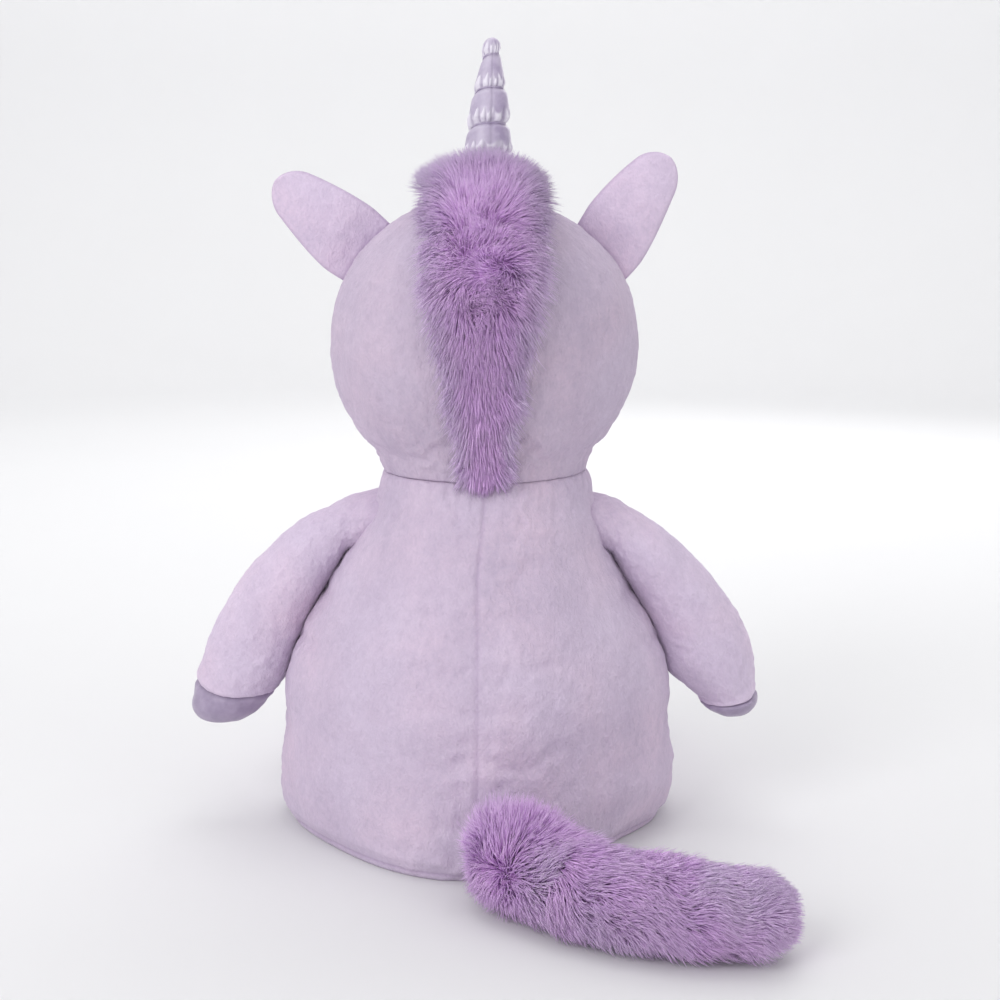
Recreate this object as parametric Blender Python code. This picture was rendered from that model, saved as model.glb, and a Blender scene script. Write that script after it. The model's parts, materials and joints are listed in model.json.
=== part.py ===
"""Seated plush unicorn, sewn from short-pile plush, long-pile fur and satin over loose stuffing.

Metres, +Z up. The toy faces -Y and its left side is +X. The origin is the middle of the flat base, on the floor.
Each skin is a sheet over a surface of two parameters: u runs round a piece, right-handed about the way v runs,
so that the cross product of the two directions points out of the piece.
"""

import math

import bpy
import numpy as np
from mathutils import Vector

# Fits
SEAM_GAP = 0.0003  # between pieces that are sewn edge to edge or lie on each other
FILL_GAP = 0.0006  # between a skin and the stuffing in it
SEAT_GAP = 0.0008  # between the head and what is sewn onto it
SEAM_LEAN = 1.25  # how much a sheet's edge leans over its seam, times its thickness and the turn there
FLOOR_GAP = 0.0002  # under the tail and the legs

# Cloth
PLUSH = 0.0025  # thickness of the short-pile plush
SATIN = 0.0012
FUR_BACKING = 0.0040  # fur cloth with its pile pressed flat
BASE_PANEL = 0.0030

# Torso: a pear with its flat side down
TORSO_HEIGHT = 0.172
TORSO_HALF_WIDTH = 0.100
TORSO_BACK = 0.089
TORSO_BELLY = 0.087
NECK_RADIUS = 0.050
BACK_RIDGE = 0.075  # how far the back is drawn in on either side of its centre seam
# share of the height, share of the way from the neck radius to the full width
TORSO_SHAPE = (
    (0.0, 0.91),
    (0.06, 1.0),
    (0.18, 0.97),
    (0.32, 0.92),
    (0.45, 0.90),
    (0.58, 0.74),
    (0.71, 0.48),
    (0.83, 0.24),
    (0.93, 0.07),
    (1.0, 0.0),
)
PELLET_BAG_HEIGHT = 0.024
PELLET_BAG_SHARE = 0.80  # of the torso's width at the base

# Head
HEAD_LOWER = 0.071  # neck to the widest level
HEAD_UPPER = 0.066  # widest level to the crown
HEAD_HALF_WIDTH = 0.0728
HEAD_BACK = 0.062
HEAD_FACE = 0.070
CHEEK_POWER = 1.45
CROWN_POWER = 1.05

# Muzzle, eyes and stitched details
MUZZLE_HALF_WIDTH = 0.034
MUZZLE_HALF_HEIGHT = 0.027
MUZZLE_LENGTH = 0.032
MUZZLE_DROP = 0.024  # its middle below the head's widest level
MUZZLE_SEAT = 0.0024
EYE_RADIUS = 0.0062
EYE_SHAFT = 0.0016
EYE_SHAFT_LENGTH = 0.0095
EYE_BEARING = 62.0  # degrees from the toy's side towards its face
EYE_RISE = 0.004
WASHER_RADIUS = 0.0070
WASHER_THICKNESS = 0.0018
WASHER_STANDOFF = 0.0018  # behind the plush, which curves round it
SHAFT_CLEARANCE = 0.0004
POCKET_CLEARANCE = 0.0007
CUTTER_REACH = 0.012
NOSTRIL_RADIUS = 0.0035
STITCH_THICKNESS = 0.0012
SMILE_HALF_WIDTH = 0.014
SMILE_THREAD = 0.0007

# Mane: a strip of fur from behind the horn to the nape
MANE_HALF_WIDTH = 0.020
MANE_THICKNESS = 0.012
MANE_START = 92.0  # degrees about the head's middle, 90 straight up and 0 straight back
MANE_END = -46.0
MANE_NAPE_SHARE = 0.35  # width left at the nape

# Horn: a satin cone gathered by a thread wound round it
HORN_LENGTH = 0.0825
HORN_BASE_RADIUS = 0.0132
HORN_TIP_RADIUS = 0.0042
HORN_LEAN = 14.0  # degrees forward
HORN_SEAT = 19.0  # degrees forward of straight up, about the head's middle
HORN_TURNS = 4.5
HORN_GROOVE = 0.16  # depth of the gathers as a share of the radius
HORN_THREAD = 0.0005

# Ears
EAR_LENGTH = 0.050
EAR_HALF_WIDTH = 0.0195
EAR_BACK_THICKNESS = 0.0048
EAR_LINING_THICKNESS = 0.0038
EAR_ROOT_THICKNESS = 0.0013
EAR_Y = -0.008
EAR_SEAT = 34.5  # degrees up from the side, about the head's middle
EAR_STANDOFF = 0.0042  # hinge line above the head
EAR_RAISE = {"left": 35.0, "right": 47.0}  # degrees up from level

# Arms
ARM_RADIUS = 0.0205
ARM_DEPTH = 0.021
ARM_ROOT_RADIUS = 0.0050
ARM_ROOT_DEPTH = 0.0165
ARM_Y = -0.002
SHOULDER_DROP = 0.013  # top of the arm below the neck seam
ARM_FLANK = 0.079  # length that lies against the torso, measured in height
ARM_REACH = 0.041  # length beyond the flank
ARM_CLEARANCE = 0.0012
ARM_REST = {"left": 1.6, "right": -0.2}  # degrees out from the flank
HOOF_LENGTH = {"left": 0.030, "right": 0.025}
HOOF_SLANT_BACK = 0.009  # the satin is this much shorter at the back
HOOF_SLANT_IN = 0.006

# Legs
LEG_RADIUS = 0.0240
LEG_LENGTH = 0.078
LEG_BEARING = 62.0  # degrees from the toy's side towards its belly
LEG_ROOT_CLEARANCE = 0.0009
LEG_HOOF_LENGTH = 0.022
FOOT_FLARE = 0.10

# Tail: a fur tube that lies on the floor
TAIL_RADIUS = 0.0178
TAIL_ROOT_RADIUS = 0.0070
TAIL_ROOT_TAPER = 0.022
TAIL_LENGTH = 0.150
TAIL_START_BEARING = 128.0  # degrees from +X, seen from above
TAIL_END_BEARING = 186.0
TAIL_ROOT_CLEARANCE = 0.0045

# Facets
TORSO_SIDES = 24
TORSO_ROWS = 11
HEAD_SIDES = 24
HEAD_ROWS = 12
LIMB_SIDES = 12

HEAD_LEVEL = TORSO_HEIGHT + HEAD_LOWER
HEAD_TOP = HEAD_LEVEL + HEAD_UPPER
HEAD_MIDDLE = Vector((0.0, 0.0, HEAD_LEVEL))
SIDES = {"left": 1.0, "right": -1.0}
UP = Vector((0.0, 0.0, 1.0))
BACKWARD = Vector((0.0, 1.0, 0.0))

# Colour, roughness and metallic value of each cloth or plastic
FINISHES = {
    "plush": ((0.60, 0.50, 0.65, 1.0), 0.95, 0.0),
    "fur": ((0.38, 0.25, 0.50, 1.0), 0.95, 0.0),
    "satin": ((0.45, 0.38, 0.55, 1.0), 0.35, 0.0),
    "stuffing": ((0.90, 0.90, 0.88, 1.0), 1.0, 0.0),
    "pellet_cloth": ((0.75, 0.74, 0.72, 1.0), 0.9, 0.0),
    "eye_plastic": ((0.012, 0.010, 0.014, 1.0), 0.08, 0.0),
    "washer_plastic": ((0.80, 0.80, 0.78, 1.0), 0.4, 0.0),
    "thread": ((0.33, 0.24, 0.42, 1.0), 0.6, 0.0),
}


# Numbers and curves


def smoothstep(x):
    x = min(max(x, 0.0), 1.0)
    return x * x * (3.0 - 2.0 * x)


def through(table, x):
    """The cubic through (x, y) points whose slope at each point is its neighbours' slope."""
    last = len(table) - 1

    def slope(k):
        before, after = table[max(k - 1, 0)], table[min(k + 1, last)]
        return (after[1] - before[1]) / (after[0] - before[0])

    i = 0
    while i < last - 1 and x > table[i + 1][0]:
        i += 1
    (x0, y0), (x1, y1) = table[i], table[i + 1]
    span = x1 - x0
    t = (x - x0) / span
    return (
        y0 * (1 + 2 * t) * (1 - t) ** 2
        + span * slope(i) * t * (1 - t) ** 2
        + y1 * t * t * (3 - 2 * t)
        + span * slope(i + 1) * t * t * (t - 1)
    )


def spread(start, end, count):
    return [start + (end - start) * k / count for k in range(count + 1)]


def round_end_spread(start, end, count, power=1.6):
    """Steps that grow shorter towards the end, for a rounded tip."""
    return [end - (end - start) * (1 - k / count) ** power for k in range(count + 1)]


def spline(points, steps=40):
    """A Catmull-Rom curve through the points, read by its share of the length."""
    pts = [2 * points[0] - points[1], *points, 2 * points[-1] - points[-2]]
    samples = []
    for i in range(1, len(pts) - 2):
        a, b, c, d = pts[i - 1 : i + 3]
        for k in range(steps):
            t = k / steps
            samples.append(
                0.5 * (2 * b + (c - a) * t + (2 * a - 5 * b + 4 * c - d) * t * t + (3 * b - a - 3 * c + d) * t**3)
            )
    samples.append(points[-1])
    table = np.array([tuple(s) for s in samples])
    lengths = np.concatenate([[0.0], np.cumsum(np.linalg.norm(np.diff(table, axis=0), axis=1))])

    def at(share):
        """Past either end the curve runs on straight."""
        reach = share * lengths[-1]
        if share < 0.0:
            start, onward = table[0], (table[1] - table[0]) / lengths[1]
            return Vector(start + onward * reach)
        if share > 1.0:
            onward = (table[-1] - table[-2]) / (lengths[-1] - lengths[-2])
            return Vector(table[-1] + onward * (reach - lengths[-1]))
        return Vector([float(np.interp(reach, lengths, table[:, k])) for k in range(3)])

    return at, float(lengths[-1])


# Surfaces


def torso(u, z):
    """The torso's outer surface at angle u, 0 at the toy's left and a quarter turn at its back."""
    share = through(TORSO_SHAPE, z / TORSO_HEIGHT)
    depth = TORSO_BACK if math.sin(u) > 0 else TORSO_BELLY
    half_width = NECK_RADIUS + (TORSO_HALF_WIDTH - NECK_RADIUS) * share
    half_depth = NECK_RADIUS + (depth - NECK_RADIUS) * share
    ridge = BACK_RIDGE * share if math.sin(u) > 0 else 0.0
    drawn_in = 1.0 - ridge * math.sin(2 * u) ** 2
    return Vector((half_width * math.cos(u) * drawn_in, half_depth * math.sin(u) * drawn_in, z))


def head_size(z):
    """The head's share of its full width, and of the way from the neck radius, at a level."""
    if z < HEAD_LEVEL:
        down = (HEAD_LEVEL - z) / HEAD_LOWER
        return None, 1.0 - smoothstep(down**CHEEK_POWER)
    up = min((z - HEAD_LEVEL) / HEAD_UPPER, 1.0)
    return math.sqrt(1.0 - up * up) ** CROWN_POWER, None


def head_axes(z, behind):
    depth = HEAD_BACK if behind else HEAD_FACE
    crown, cheek = head_size(z)
    if crown is None:
        return NECK_RADIUS + (HEAD_HALF_WIDTH - NECK_RADIUS) * cheek, NECK_RADIUS + (depth - NECK_RADIUS) * cheek
    return HEAD_HALF_WIDTH * crown, depth * crown


def head_level(v):
    """Height for v from 0 at the neck to 1 at the crown, with equal turns over the dome."""
    split = HEAD_LOWER / (HEAD_LOWER + HEAD_UPPER * math.pi / 2)
    if v < split:
        return TORSO_HEIGHT + HEAD_LOWER * v / split
    return HEAD_LEVEL + HEAD_UPPER * math.sin((v - split) / (1 - split) * math.pi / 2)


def head(u, v):
    z = head_level(v)
    half_width, half_depth = head_axes(z, math.sin(u) > 0)
    return Vector((half_width * math.cos(u), half_depth * math.sin(u), z))


def in_head(p):
    if p.z >= HEAD_TOP or p.z <= TORSO_HEIGHT:
        return False
    half_width, half_depth = head_axes(p.z, p.y > 0)
    return (p.x / half_width) ** 2 + (p.y / half_depth) ** 2 < 1.0


def head_distance(start, way, reach=0.16):
    """How far the head's surface is from a point, along a direction that leaves the head."""
    near, far = 0.0, reach
    for _ in range(40):
        middle = (near + far) / 2
        if in_head(start + way * middle):
            near = middle
        else:
            far = middle
    return near


def head_normal(u, v):
    step = 1e-4
    return (head(u + step, v) - head(u - step, v)).cross(head(u, v + step) - head(u, v - step)).normalized()


def inset(surface, depth):
    """The surface moved inward along its normal."""
    step = 1e-4

    def moved(u, v):
        across = surface(u + step, v) - surface(u - step, v)
        along = surface(u, v + step) - surface(u, v - step)
        return surface(u, v) - across.cross(along).normalized() * depth

    return moved


def tube(path, radius, depth, across):
    """A surface round a path: radius and depth are its half sizes at a share of the path, across its depth way."""
    step = 1e-3

    def surface(u, v):
        onward = (path(v + step) - path(v - step)).normalized()
        side = across.cross(onward).normalized()
        up = onward.cross(side)
        return path(v) + side * (radius(v) * math.cos(u)) + up * (depth(v) * math.sin(u))

    return surface


# Building


def material(name):
    made = bpy.data.materials.get(name)
    if made is None:
        colour, roughness, metallic = FINISHES[name]
        made = bpy.data.materials.new(name)
        made.use_nodes = True
        made.diffuse_color = colour
        shader = made.node_tree.nodes["Principled BSDF"]
        shader.inputs["Base Color"].default_value = colour
        shader.inputs["Roughness"].default_value = roughness
        shader.inputs["Metallic"].default_value = metallic
    return made


def pivot(name, place):
    """An empty on a joint's axis, which carries the pieces that move with it."""
    empty = bpy.data.objects.new(name, None)
    empty.location = place
    empty.empty_display_size = 0.02
    bpy.context.scene.collection.objects.link(empty)
    return empty


def add_object(name, points, faces, finish, carrier=None):
    origin = Vector(carrier.location) if carrier else Vector((0.0, 0.0, 0.0))
    mesh = bpy.data.meshes.new(name)
    mesh.from_pydata([p - origin for p in points], [], faces)
    mesh.update()
    mesh.shade_smooth()
    mesh.set_sharp_from_angle(angle=math.radians(40))
    mesh.materials.append(material(finish))
    obj = bpy.data.objects.new(name, mesh)
    bpy.context.scene.collection.objects.link(obj)
    if carrier:
        obj.parent = carrier
    return obj


def grid_faces(columns, rows, closed):
    count = columns if closed else columns - 1
    return [
        (r * columns + c, r * columns + (c + 1) % columns, (r + 1) * columns + (c + 1) % columns, (r + 1) * columns + c)
        for r in range(rows - 1)
        for c in range(count)
    ]


def skin(name, surface, us, vs, thickness, finish, carrier=None, closed=False, pole=None):
    """A sheet over surface(u, v), thickened inward. With a pole it closes to that point past its last row."""
    points = [surface(u, v) for v in vs for u in us]
    faces = grid_faces(len(us), len(vs), closed)
    if pole is not None:
        tip, first = len(points), len(points) - len(us)
        points.append(pole)
        faces += [(first + c, first + (c + 1) % len(us), tip) for c in range(len(us))]
    obj = add_object(name, points, faces, finish, carrier)
    wall = obj.modifiers.new("wall", "SOLIDIFY")
    wall.thickness = thickness
    wall.offset = -1.0
    wall.use_even_offset = True
    return obj


def lump(name, rings, ends, finish, carrier=None):
    """A closed body through rings of points, with a point beyond its first and its last ring."""
    sides = len(rings[0])
    points = [p for ring in rings for p in ring]
    faces = grid_faces(sides, len(rings), True)
    first, last = len(points), len(points) + 1
    points += list(ends)
    top = (len(rings) - 1) * sides
    faces += [((c + 1) % sides, c, first) for c in range(sides)]
    faces += [(top + c, top + (c + 1) % sides, last) for c in range(sides)]
    return add_object(name, points, faces, finish, carrier)


def middle(ring):
    return sum(ring, Vector((0.0, 0.0, 0.0))) / len(ring)


def turned(name, profile, place, way, finish, carrier=None, sides=12):
    """A body of revolution: profile lists (radius, height) from its bottom to its top along way."""
    side = way.orthogonal().normalized()
    other = way.cross(side)
    turns = spread(0.0, 2 * math.pi, sides)[:-1]
    rings = [
        [place + way * h + (side * math.cos(t) + other * math.sin(t)) * r for t in turns] for r, h in profile[1:-1]
    ]
    ends = (place + way * profile[0][1], place + way * profile[-1][1])
    return lump(name, rings, ends, finish, carrier)


def cut(obj, cutter):
    cutter.hide_render = True
    cutter.display_type = "WIRE"
    hole = obj.modifiers.new("hole", "BOOLEAN")
    hole.operation = "DIFFERENCE"
    hole.solver = "EXACT"
    hole.object = cutter


def turns_round(sides):
    return spread(0.0, 2 * math.pi, sides)[:-1]


# Torso


def panel(surface, first, last, sides):
    """The stretch of a body between two of its facet lines, less half a seam gap at both ends, as a surface whose
    u counts facets. A thickened sheet's edge leans out over its seam by half the turn between the facets there,
    which the gap allows for."""
    step = 2 * math.pi / sides

    def cloth(u, v):
        share = 2 * (u - first) / (last - first) - 1
        seam = (last if share > 0 else first) * step
        here = surface(seam, v)
        turn = (surface(seam + step, v) - here).angle(here - surface(seam - step, v)) / 2
        edge = SEAM_GAP / 2 + PLUSH * math.sin(turn) * SEAM_LEAN
        return surface(u * step - share * edge / here.xy.length, v)

    return cloth, spread(first, last, last - first)


def build_torso():
    low, high = BASE_PANEL + SEAM_GAP, TORSO_HEIGHT - SEAM_GAP / 2
    levels = spread(low, high, TORSO_ROWS)
    panels = {
        "torso_back_left": (0, 6),
        "torso_back_right": (6, 12),
        "torso_belly": (12, 24),
    }
    for name, (first, last) in panels.items():
        cloth, columns = panel(torso, first, last, TORSO_SIDES)
        skin(name, cloth, columns, levels, PLUSH, "plush")
    around = turns_round(TORSO_SIDES)
    rings = [[torso(u, 0.0).xy.to_3d() + UP * z for u in around] for z in (0.0, BASE_PANEL)]
    lump("base_panel", rings, (Vector((0, 0, 0)), UP * BASE_PANEL), "plush")

    bag_top = BASE_PANEL + SEAM_GAP + PELLET_BAG_HEIGHT
    bag_middle = (BASE_PANEL + SEAM_GAP + bag_top) / 2
    bag_rings = []
    for share, level in ((0.90, BASE_PANEL + SEAM_GAP), (1.0, bag_middle), (0.90, bag_top)):
        flat = [torso(u, BASE_PANEL + SEAM_GAP).xy.to_3d() * (PELLET_BAG_SHARE * share) for u in around]
        bag_rings.append([p + UP * level for p in flat])
    lump("pellet_bag", bag_rings, (UP * (BASE_PANEL + SEAM_GAP), UP * bag_top), "pellet_cloth")

    inner = inset(torso, PLUSH + FILL_GAP)
    bottom, top = bag_top + FILL_GAP, levels[-1]
    rings = [[inner(u, z) for u in around] for z in levels if bottom + FILL_GAP < z < top]
    lowest = [inner(u, bottom).xy.to_3d() + UP * bottom for u in around]
    highest = [torso(u, top).xy.to_3d() * (1 - (PLUSH + 2 * FILL_GAP) / NECK_RADIUS) + UP * top for u in around]
    lump("torso_stuffing", [lowest, *rings, highest], (UP * bottom, UP * top), "stuffing")


# Head


def face_spot(x, z, lift):
    """A point in front of the face at a given offset and height, lift metres off its surface."""
    half_width, half_depth = head_axes(z, False)
    return Vector((x, -half_depth * math.sqrt(max(1.0 - (x / half_width) ** 2, 0.0)) - lift, z))


MUZZLE_LEVEL = HEAD_LEVEL - MUZZLE_DROP


def muzzle(u, v):
    """v from 0 where the muzzle is sewn to the face to 1 at the tip of the nose."""
    close = math.cos(v * math.pi / 2) ** 0.7
    x, z = MUZZLE_HALF_WIDTH * math.cos(u), MUZZLE_HALF_HEIGHT * math.sin(u)
    seat = face_spot(x, MUZZLE_LEVEL + z, MUZZLE_SEAT)
    tip_y = face_spot(0.0, MUZZLE_LEVEL, MUZZLE_LENGTH).y
    out = math.sin(v * math.pi / 2)
    return Vector((x * close, seat.y + (tip_y - seat.y) * out, MUZZLE_LEVEL + z * close))


def muzzle_front(x, z):
    """The muzzle's surface in front of a point of its outline, and the way it faces there."""
    u = math.atan2(z / MUZZLE_HALF_HEIGHT, x / MUZZLE_HALF_WIDTH)
    share = math.hypot(x / MUZZLE_HALF_WIDTH, z / MUZZLE_HALF_HEIGHT)
    v = math.acos(min(share, 0.999) ** (1 / 0.7)) * 2 / math.pi
    step = 1e-3
    across = muzzle(u + step, v) - muzzle(u - step, v)
    along = muzzle(u, v + step) - muzzle(u, v - step)
    return muzzle(u, v), across.cross(along).normalized()


def build_eye(side, sign, carrier, face_panel, stuffing):
    """A safety eye: its dome on the plush, its shaft through it, and a washer behind."""
    split = HEAD_LOWER / (HEAD_LOWER + HEAD_UPPER * math.pi / 2)
    u = math.radians(-90 + sign * (90 - EYE_BEARING))
    v = split + EYE_RISE / (HEAD_UPPER * math.pi / 2) * (1 - split)
    place, way = head(u, v), head_normal(u, v)
    r, s = EYE_RADIUS, EYE_SHAFT
    back = SEAM_GAP * 2
    dome = [
        (r * math.cos(t), back + 0.0006 + 0.62 * r * math.sin(t)) for t in spread(0.0, math.pi / 2, 4)[:-1]
    ]
    top = (0.0, back + 0.0006 + 0.62 * r)
    profile = [(0.0, -EYE_SHAFT_LENGTH), (s, -EYE_SHAFT_LENGTH), (s, back), (r * 0.96, back), *dome, top]
    turned(f"eye_{side}", profile, place, way, "eye_plastic", carrier)

    face = -PLUSH - WASHER_STANDOFF
    under = face - WASHER_THICKNESS
    hole = s + SHAFT_CLEARANCE
    disc_profile = [(0, under), (WASHER_RADIUS, under), (WASHER_RADIUS, face), (0, face)]
    disc = turned(f"eye_washer_{side}", disc_profile, place, way, "washer_plastic", carrier)
    bore_profile = [(0, -CUTTER_REACH), (hole, -CUTTER_REACH), (hole, CUTTER_REACH), (0, CUTTER_REACH)]
    bore = turned(f"eye_bore_{side}", bore_profile, place, way, "stuffing", carrier)
    wide = WASHER_RADIUS + POCKET_CLEARANCE
    deep = under - POCKET_CLEARANCE
    end = -EYE_SHAFT_LENGTH - POCKET_CLEARANCE
    pocket_profile = [(0, end), (hole, end), (hole, deep), (wide, deep), (wide, CUTTER_REACH), (0, CUTTER_REACH)]
    pocket = turned(f"eye_pocket_{side}", pocket_profile, place, way, "stuffing", carrier)
    cut(disc, bore)
    cut(face_panel, bore)
    cut(stuffing, pocket)


def build_muzzle(carrier):
    around = turns_round(16)
    rows = spread(0.0, 0.88, 5)
    tip = muzzle(0.0, 1.0)
    skin("muzzle_skin", muzzle, around, rows, PLUSH, "plush", carrier, closed=True, pole=tip)
    inner = inset(muzzle, PLUSH + FILL_GAP)
    shrink = 1.0 - (PLUSH + 2 * FILL_GAP) / MUZZLE_HALF_HEIGHT * 1.35
    seat_rings = []
    for share in (0.5 * shrink, shrink):
        ring = []
        for u in around:
            x = MUZZLE_HALF_WIDTH * share * math.cos(u)
            z = MUZZLE_LEVEL + MUZZLE_HALF_HEIGHT * share * math.sin(u)
            ring.append(face_spot(x, z, MUZZLE_SEAT))
        seat_rings.append(ring)
    dome_rings = [[inner(u, v) for u in around] for v in (0.32, 0.5, 0.68, 0.86)]
    nose = tip + BACKWARD * (PLUSH + 2 * FILL_GAP)
    ends = (face_spot(0.0, MUZZLE_LEVEL, MUZZLE_SEAT), nose)
    lump("muzzle_stuffing", [*seat_rings, *dome_rings], ends, "stuffing", carrier)

    for side, sign in SIDES.items():
        place, way = muzzle_front(sign * 0.30 * MUZZLE_HALF_WIDTH, 0.22 * MUZZLE_HALF_HEIGHT)
        lens = [(0.0, 0.0), (NOSTRIL_RADIUS, 0.0), (NOSTRIL_RADIUS * 0.8, STITCH_THICKNESS), (0.0, STITCH_THICKNESS)]
        turned(f"nostril_{side}", lens, place + way * SEAM_GAP * 3, way, "thread", carrier, sides=10)

    points = []
    for share in spread(-1.0, 1.0, 8):
        spot, way = muzzle_front(
            SMILE_HALF_WIDTH * share, -MUZZLE_HALF_HEIGHT * (0.42 - 0.14 * share * share)
        )
        points.append(spot + way * (SMILE_THREAD + SEAM_GAP * 2))
    add_thread("smile_stitch", points, SMILE_THREAD, carrier)


def add_thread(name, points, radius, carrier):
    """A round thread along points, with closed ends."""
    curve = bpy.data.curves.new(name, "CURVE")
    curve.dimensions = "3D"
    curve.bevel_depth = radius
    curve.bevel_resolution = 1
    curve.use_fill_caps = True
    run = curve.splines.new("POLY")
    run.points.add(len(points) - 1)
    origin = Vector(carrier.location)
    for point, place in zip(run.points, points):
        point.co = (*(place - origin), 1.0)
    curve.materials.append(material("thread"))
    obj = bpy.data.objects.new(name, curve)
    bpy.context.scene.collection.objects.link(obj)
    obj.parent = carrier
    return obj


def mane_point(x, bearing, lift):
    """A point over the head at a sideways offset and a bearing in the middle plane, lift metres off the head."""
    angle = math.radians(bearing)
    way = Vector((0.0, math.cos(angle), math.sin(angle)))
    start = HEAD_MIDDLE + Vector((x, 0.0, 0.0))
    return start + way * (head_distance(start, way) + lift)


def build_mane(carrier):
    bearings = spread(MANE_START, MANE_END, 13)
    shares = spread(-1.0, 1.0, 4)
    rings = []
    for k, bearing in enumerate(bearings):
        along = k / (len(bearings) - 1)
        half = MANE_HALF_WIDTH * (1.0 - (1.0 - MANE_NAPE_SHARE) * smoothstep((along - 0.45) / 0.55))
        end_share = min(1.0, 0.55 + 4.0 * min(along, 1.0 - along))
        thick = MANE_THICKNESS * end_share
        low = [mane_point(half * s, bearing, SEAT_GAP) for s in shares]
        high = [mane_point(half * s * 0.97, bearing, SEAT_GAP + thick * (1 - 0.75 * s * s)) for s in reversed(shares)]
        rings.append(high[::-1] + low[::-1])
    ends = (middle(rings[0]), middle(rings[-1]))
    lump("mane_fur", rings, ends, "fur", carrier)


def horn_axis():
    lean = math.radians(HORN_LEAN)
    return Vector((0.0, -math.sin(lean), math.cos(lean)))


def horn_foot():
    seat = math.radians(HORN_SEAT)
    way = Vector((0.0, -math.sin(seat), math.cos(seat)))
    return HEAD_MIDDLE + way * head_distance(HEAD_MIDDLE, way)


def horn_radius(v):
    cone = HORN_BASE_RADIUS + (HORN_TIP_RADIUS - HORN_BASE_RADIUS) * v
    round_off = max(0.0, (v - 0.93) / 0.07)
    return cone * math.sqrt(max(1.0 - round_off * round_off, 0.0))


def horn(u, v):
    """v from 0 at the head to 1 at the tip. The gathers follow the thread, one turn for each share of the length."""
    phase = HORN_TURNS * v - u / (2 * math.pi)
    gather = (0.5 + 0.5 * math.cos(2 * math.pi * phase)) ** 3
    radius = horn_radius(v) * (1.0 - HORN_GROOVE * gather * smoothstep((0.97 - v) / 0.08))
    axis = horn_axis()
    side = Vector((1.0, 0.0, 0.0))
    ahead = axis.cross(side)
    return horn_foot() + axis * (HORN_LENGTH * v) + (side * math.cos(u) + ahead * math.sin(u)) * radius


def horn_seat(u, inset_by, lift):
    """The foot of the horn's wall: its radius less inset_by, lift metres off the head."""
    axis = horn_axis()
    side = Vector((1.0, 0.0, 0.0))
    ahead = axis.cross(side)
    out = side * math.cos(u) + ahead * math.sin(u)
    start = horn_foot() + out * (HORN_BASE_RADIUS - inset_by) - axis * 0.03
    return start + axis * (head_distance(start, axis) + lift)


def build_horn(carrier):
    around = turns_round(12)
    rows = spread(0.06, 0.93, 16) + [0.965, 0.99]

    def wall(u, v):
        return horn_seat(u, 0.0, SEAT_GAP) if v <= 0.0 else horn(u, v)

    tip = horn_foot() + horn_axis() * (HORN_LENGTH * 1.0)
    skin("horn_skin", wall, around, [0.0, *rows], SATIN, "satin", carrier, closed=True, pole=tip)
    inner = inset(horn, SATIN + FILL_GAP)
    rings = [[horn_seat(u, SATIN + FILL_GAP * 2, SEAT_GAP) for u in around]]
    rings += [[inner(u, v) for u in around] for v in rows if v < 0.94]
    ends = (middle(rings[0]) + horn_axis() * 0.001, horn_foot() + horn_axis() * (HORN_LENGTH * 0.955))
    lump("horn_stuffing", rings, ends, "stuffing", carrier)

    start, end, each = 0.10, 0.88, 14
    count = round(HORN_TURNS * (end - start) * each)
    points = []
    for v in spread(start, end, count):
        u = 2 * math.pi * HORN_TURNS * v
        spot = horn(u, v)
        centre = horn_foot() + horn_axis() * (HORN_LENGTH * v)
        points.append(spot + (spot - centre).normalized() * (HORN_THREAD + SEAT_GAP))
    add_thread("horn_thread", points, HORN_THREAD, carrier)


def build_head():
    carrier = pivot("head_pivot", UP * TORSO_HEIGHT)
    rows = [SEAM_GAP / 2 / (HEAD_LOWER + HEAD_UPPER * math.pi / 2), *spread(0.08, 0.97, HEAD_ROWS - 1)]
    panels = {"head_left": (-2, 6), "head_right": (6, 14), "face_panel": (14, 22)}
    made = {}
    for name, (first, last) in panels.items():
        cloth, columns = panel(head, first, last, HEAD_SIDES)
        made[name] = skin(name, cloth, columns, rows, PLUSH, "plush", carrier)
    inner = inset(head, PLUSH + FILL_GAP)
    around = turns_round(HEAD_SIDES)
    rings = [[inner(u, v).xy.to_3d() + UP * max(inner(u, v).z, head_level(rows[0])) for u in around] for v in rows]
    rings[0] = [p.xy.to_3d() + UP * head_level(rows[0]) for p in rings[0]]
    ends = (UP * head_level(rows[0]), UP * (HEAD_TOP - PLUSH - FILL_GAP))
    stuffing = lump("head_stuffing", rings, ends, "stuffing", carrier)
    for side, sign in SIDES.items():
        build_eye(side, sign, carrier, made["face_panel"], stuffing)
    build_muzzle(carrier)
    build_mane(carrier)
    build_horn(carrier)


# Ears


def ear_half_width(share):
    """Half the ear's width at a share of its length: full near the root, rounded at the tip."""
    body = 0.90 + 0.10 * math.sin(min(share / 0.45, 1.0) * math.pi)
    taper = 1.0 - 0.72 * smoothstep((share - 0.30) / 0.72)
    tip = math.sqrt(max(1.0 - max((share - 0.86) / 0.14, 0.0) ** 2, 0.0))
    return EAR_HALF_WIDTH * body * taper * tip


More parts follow.
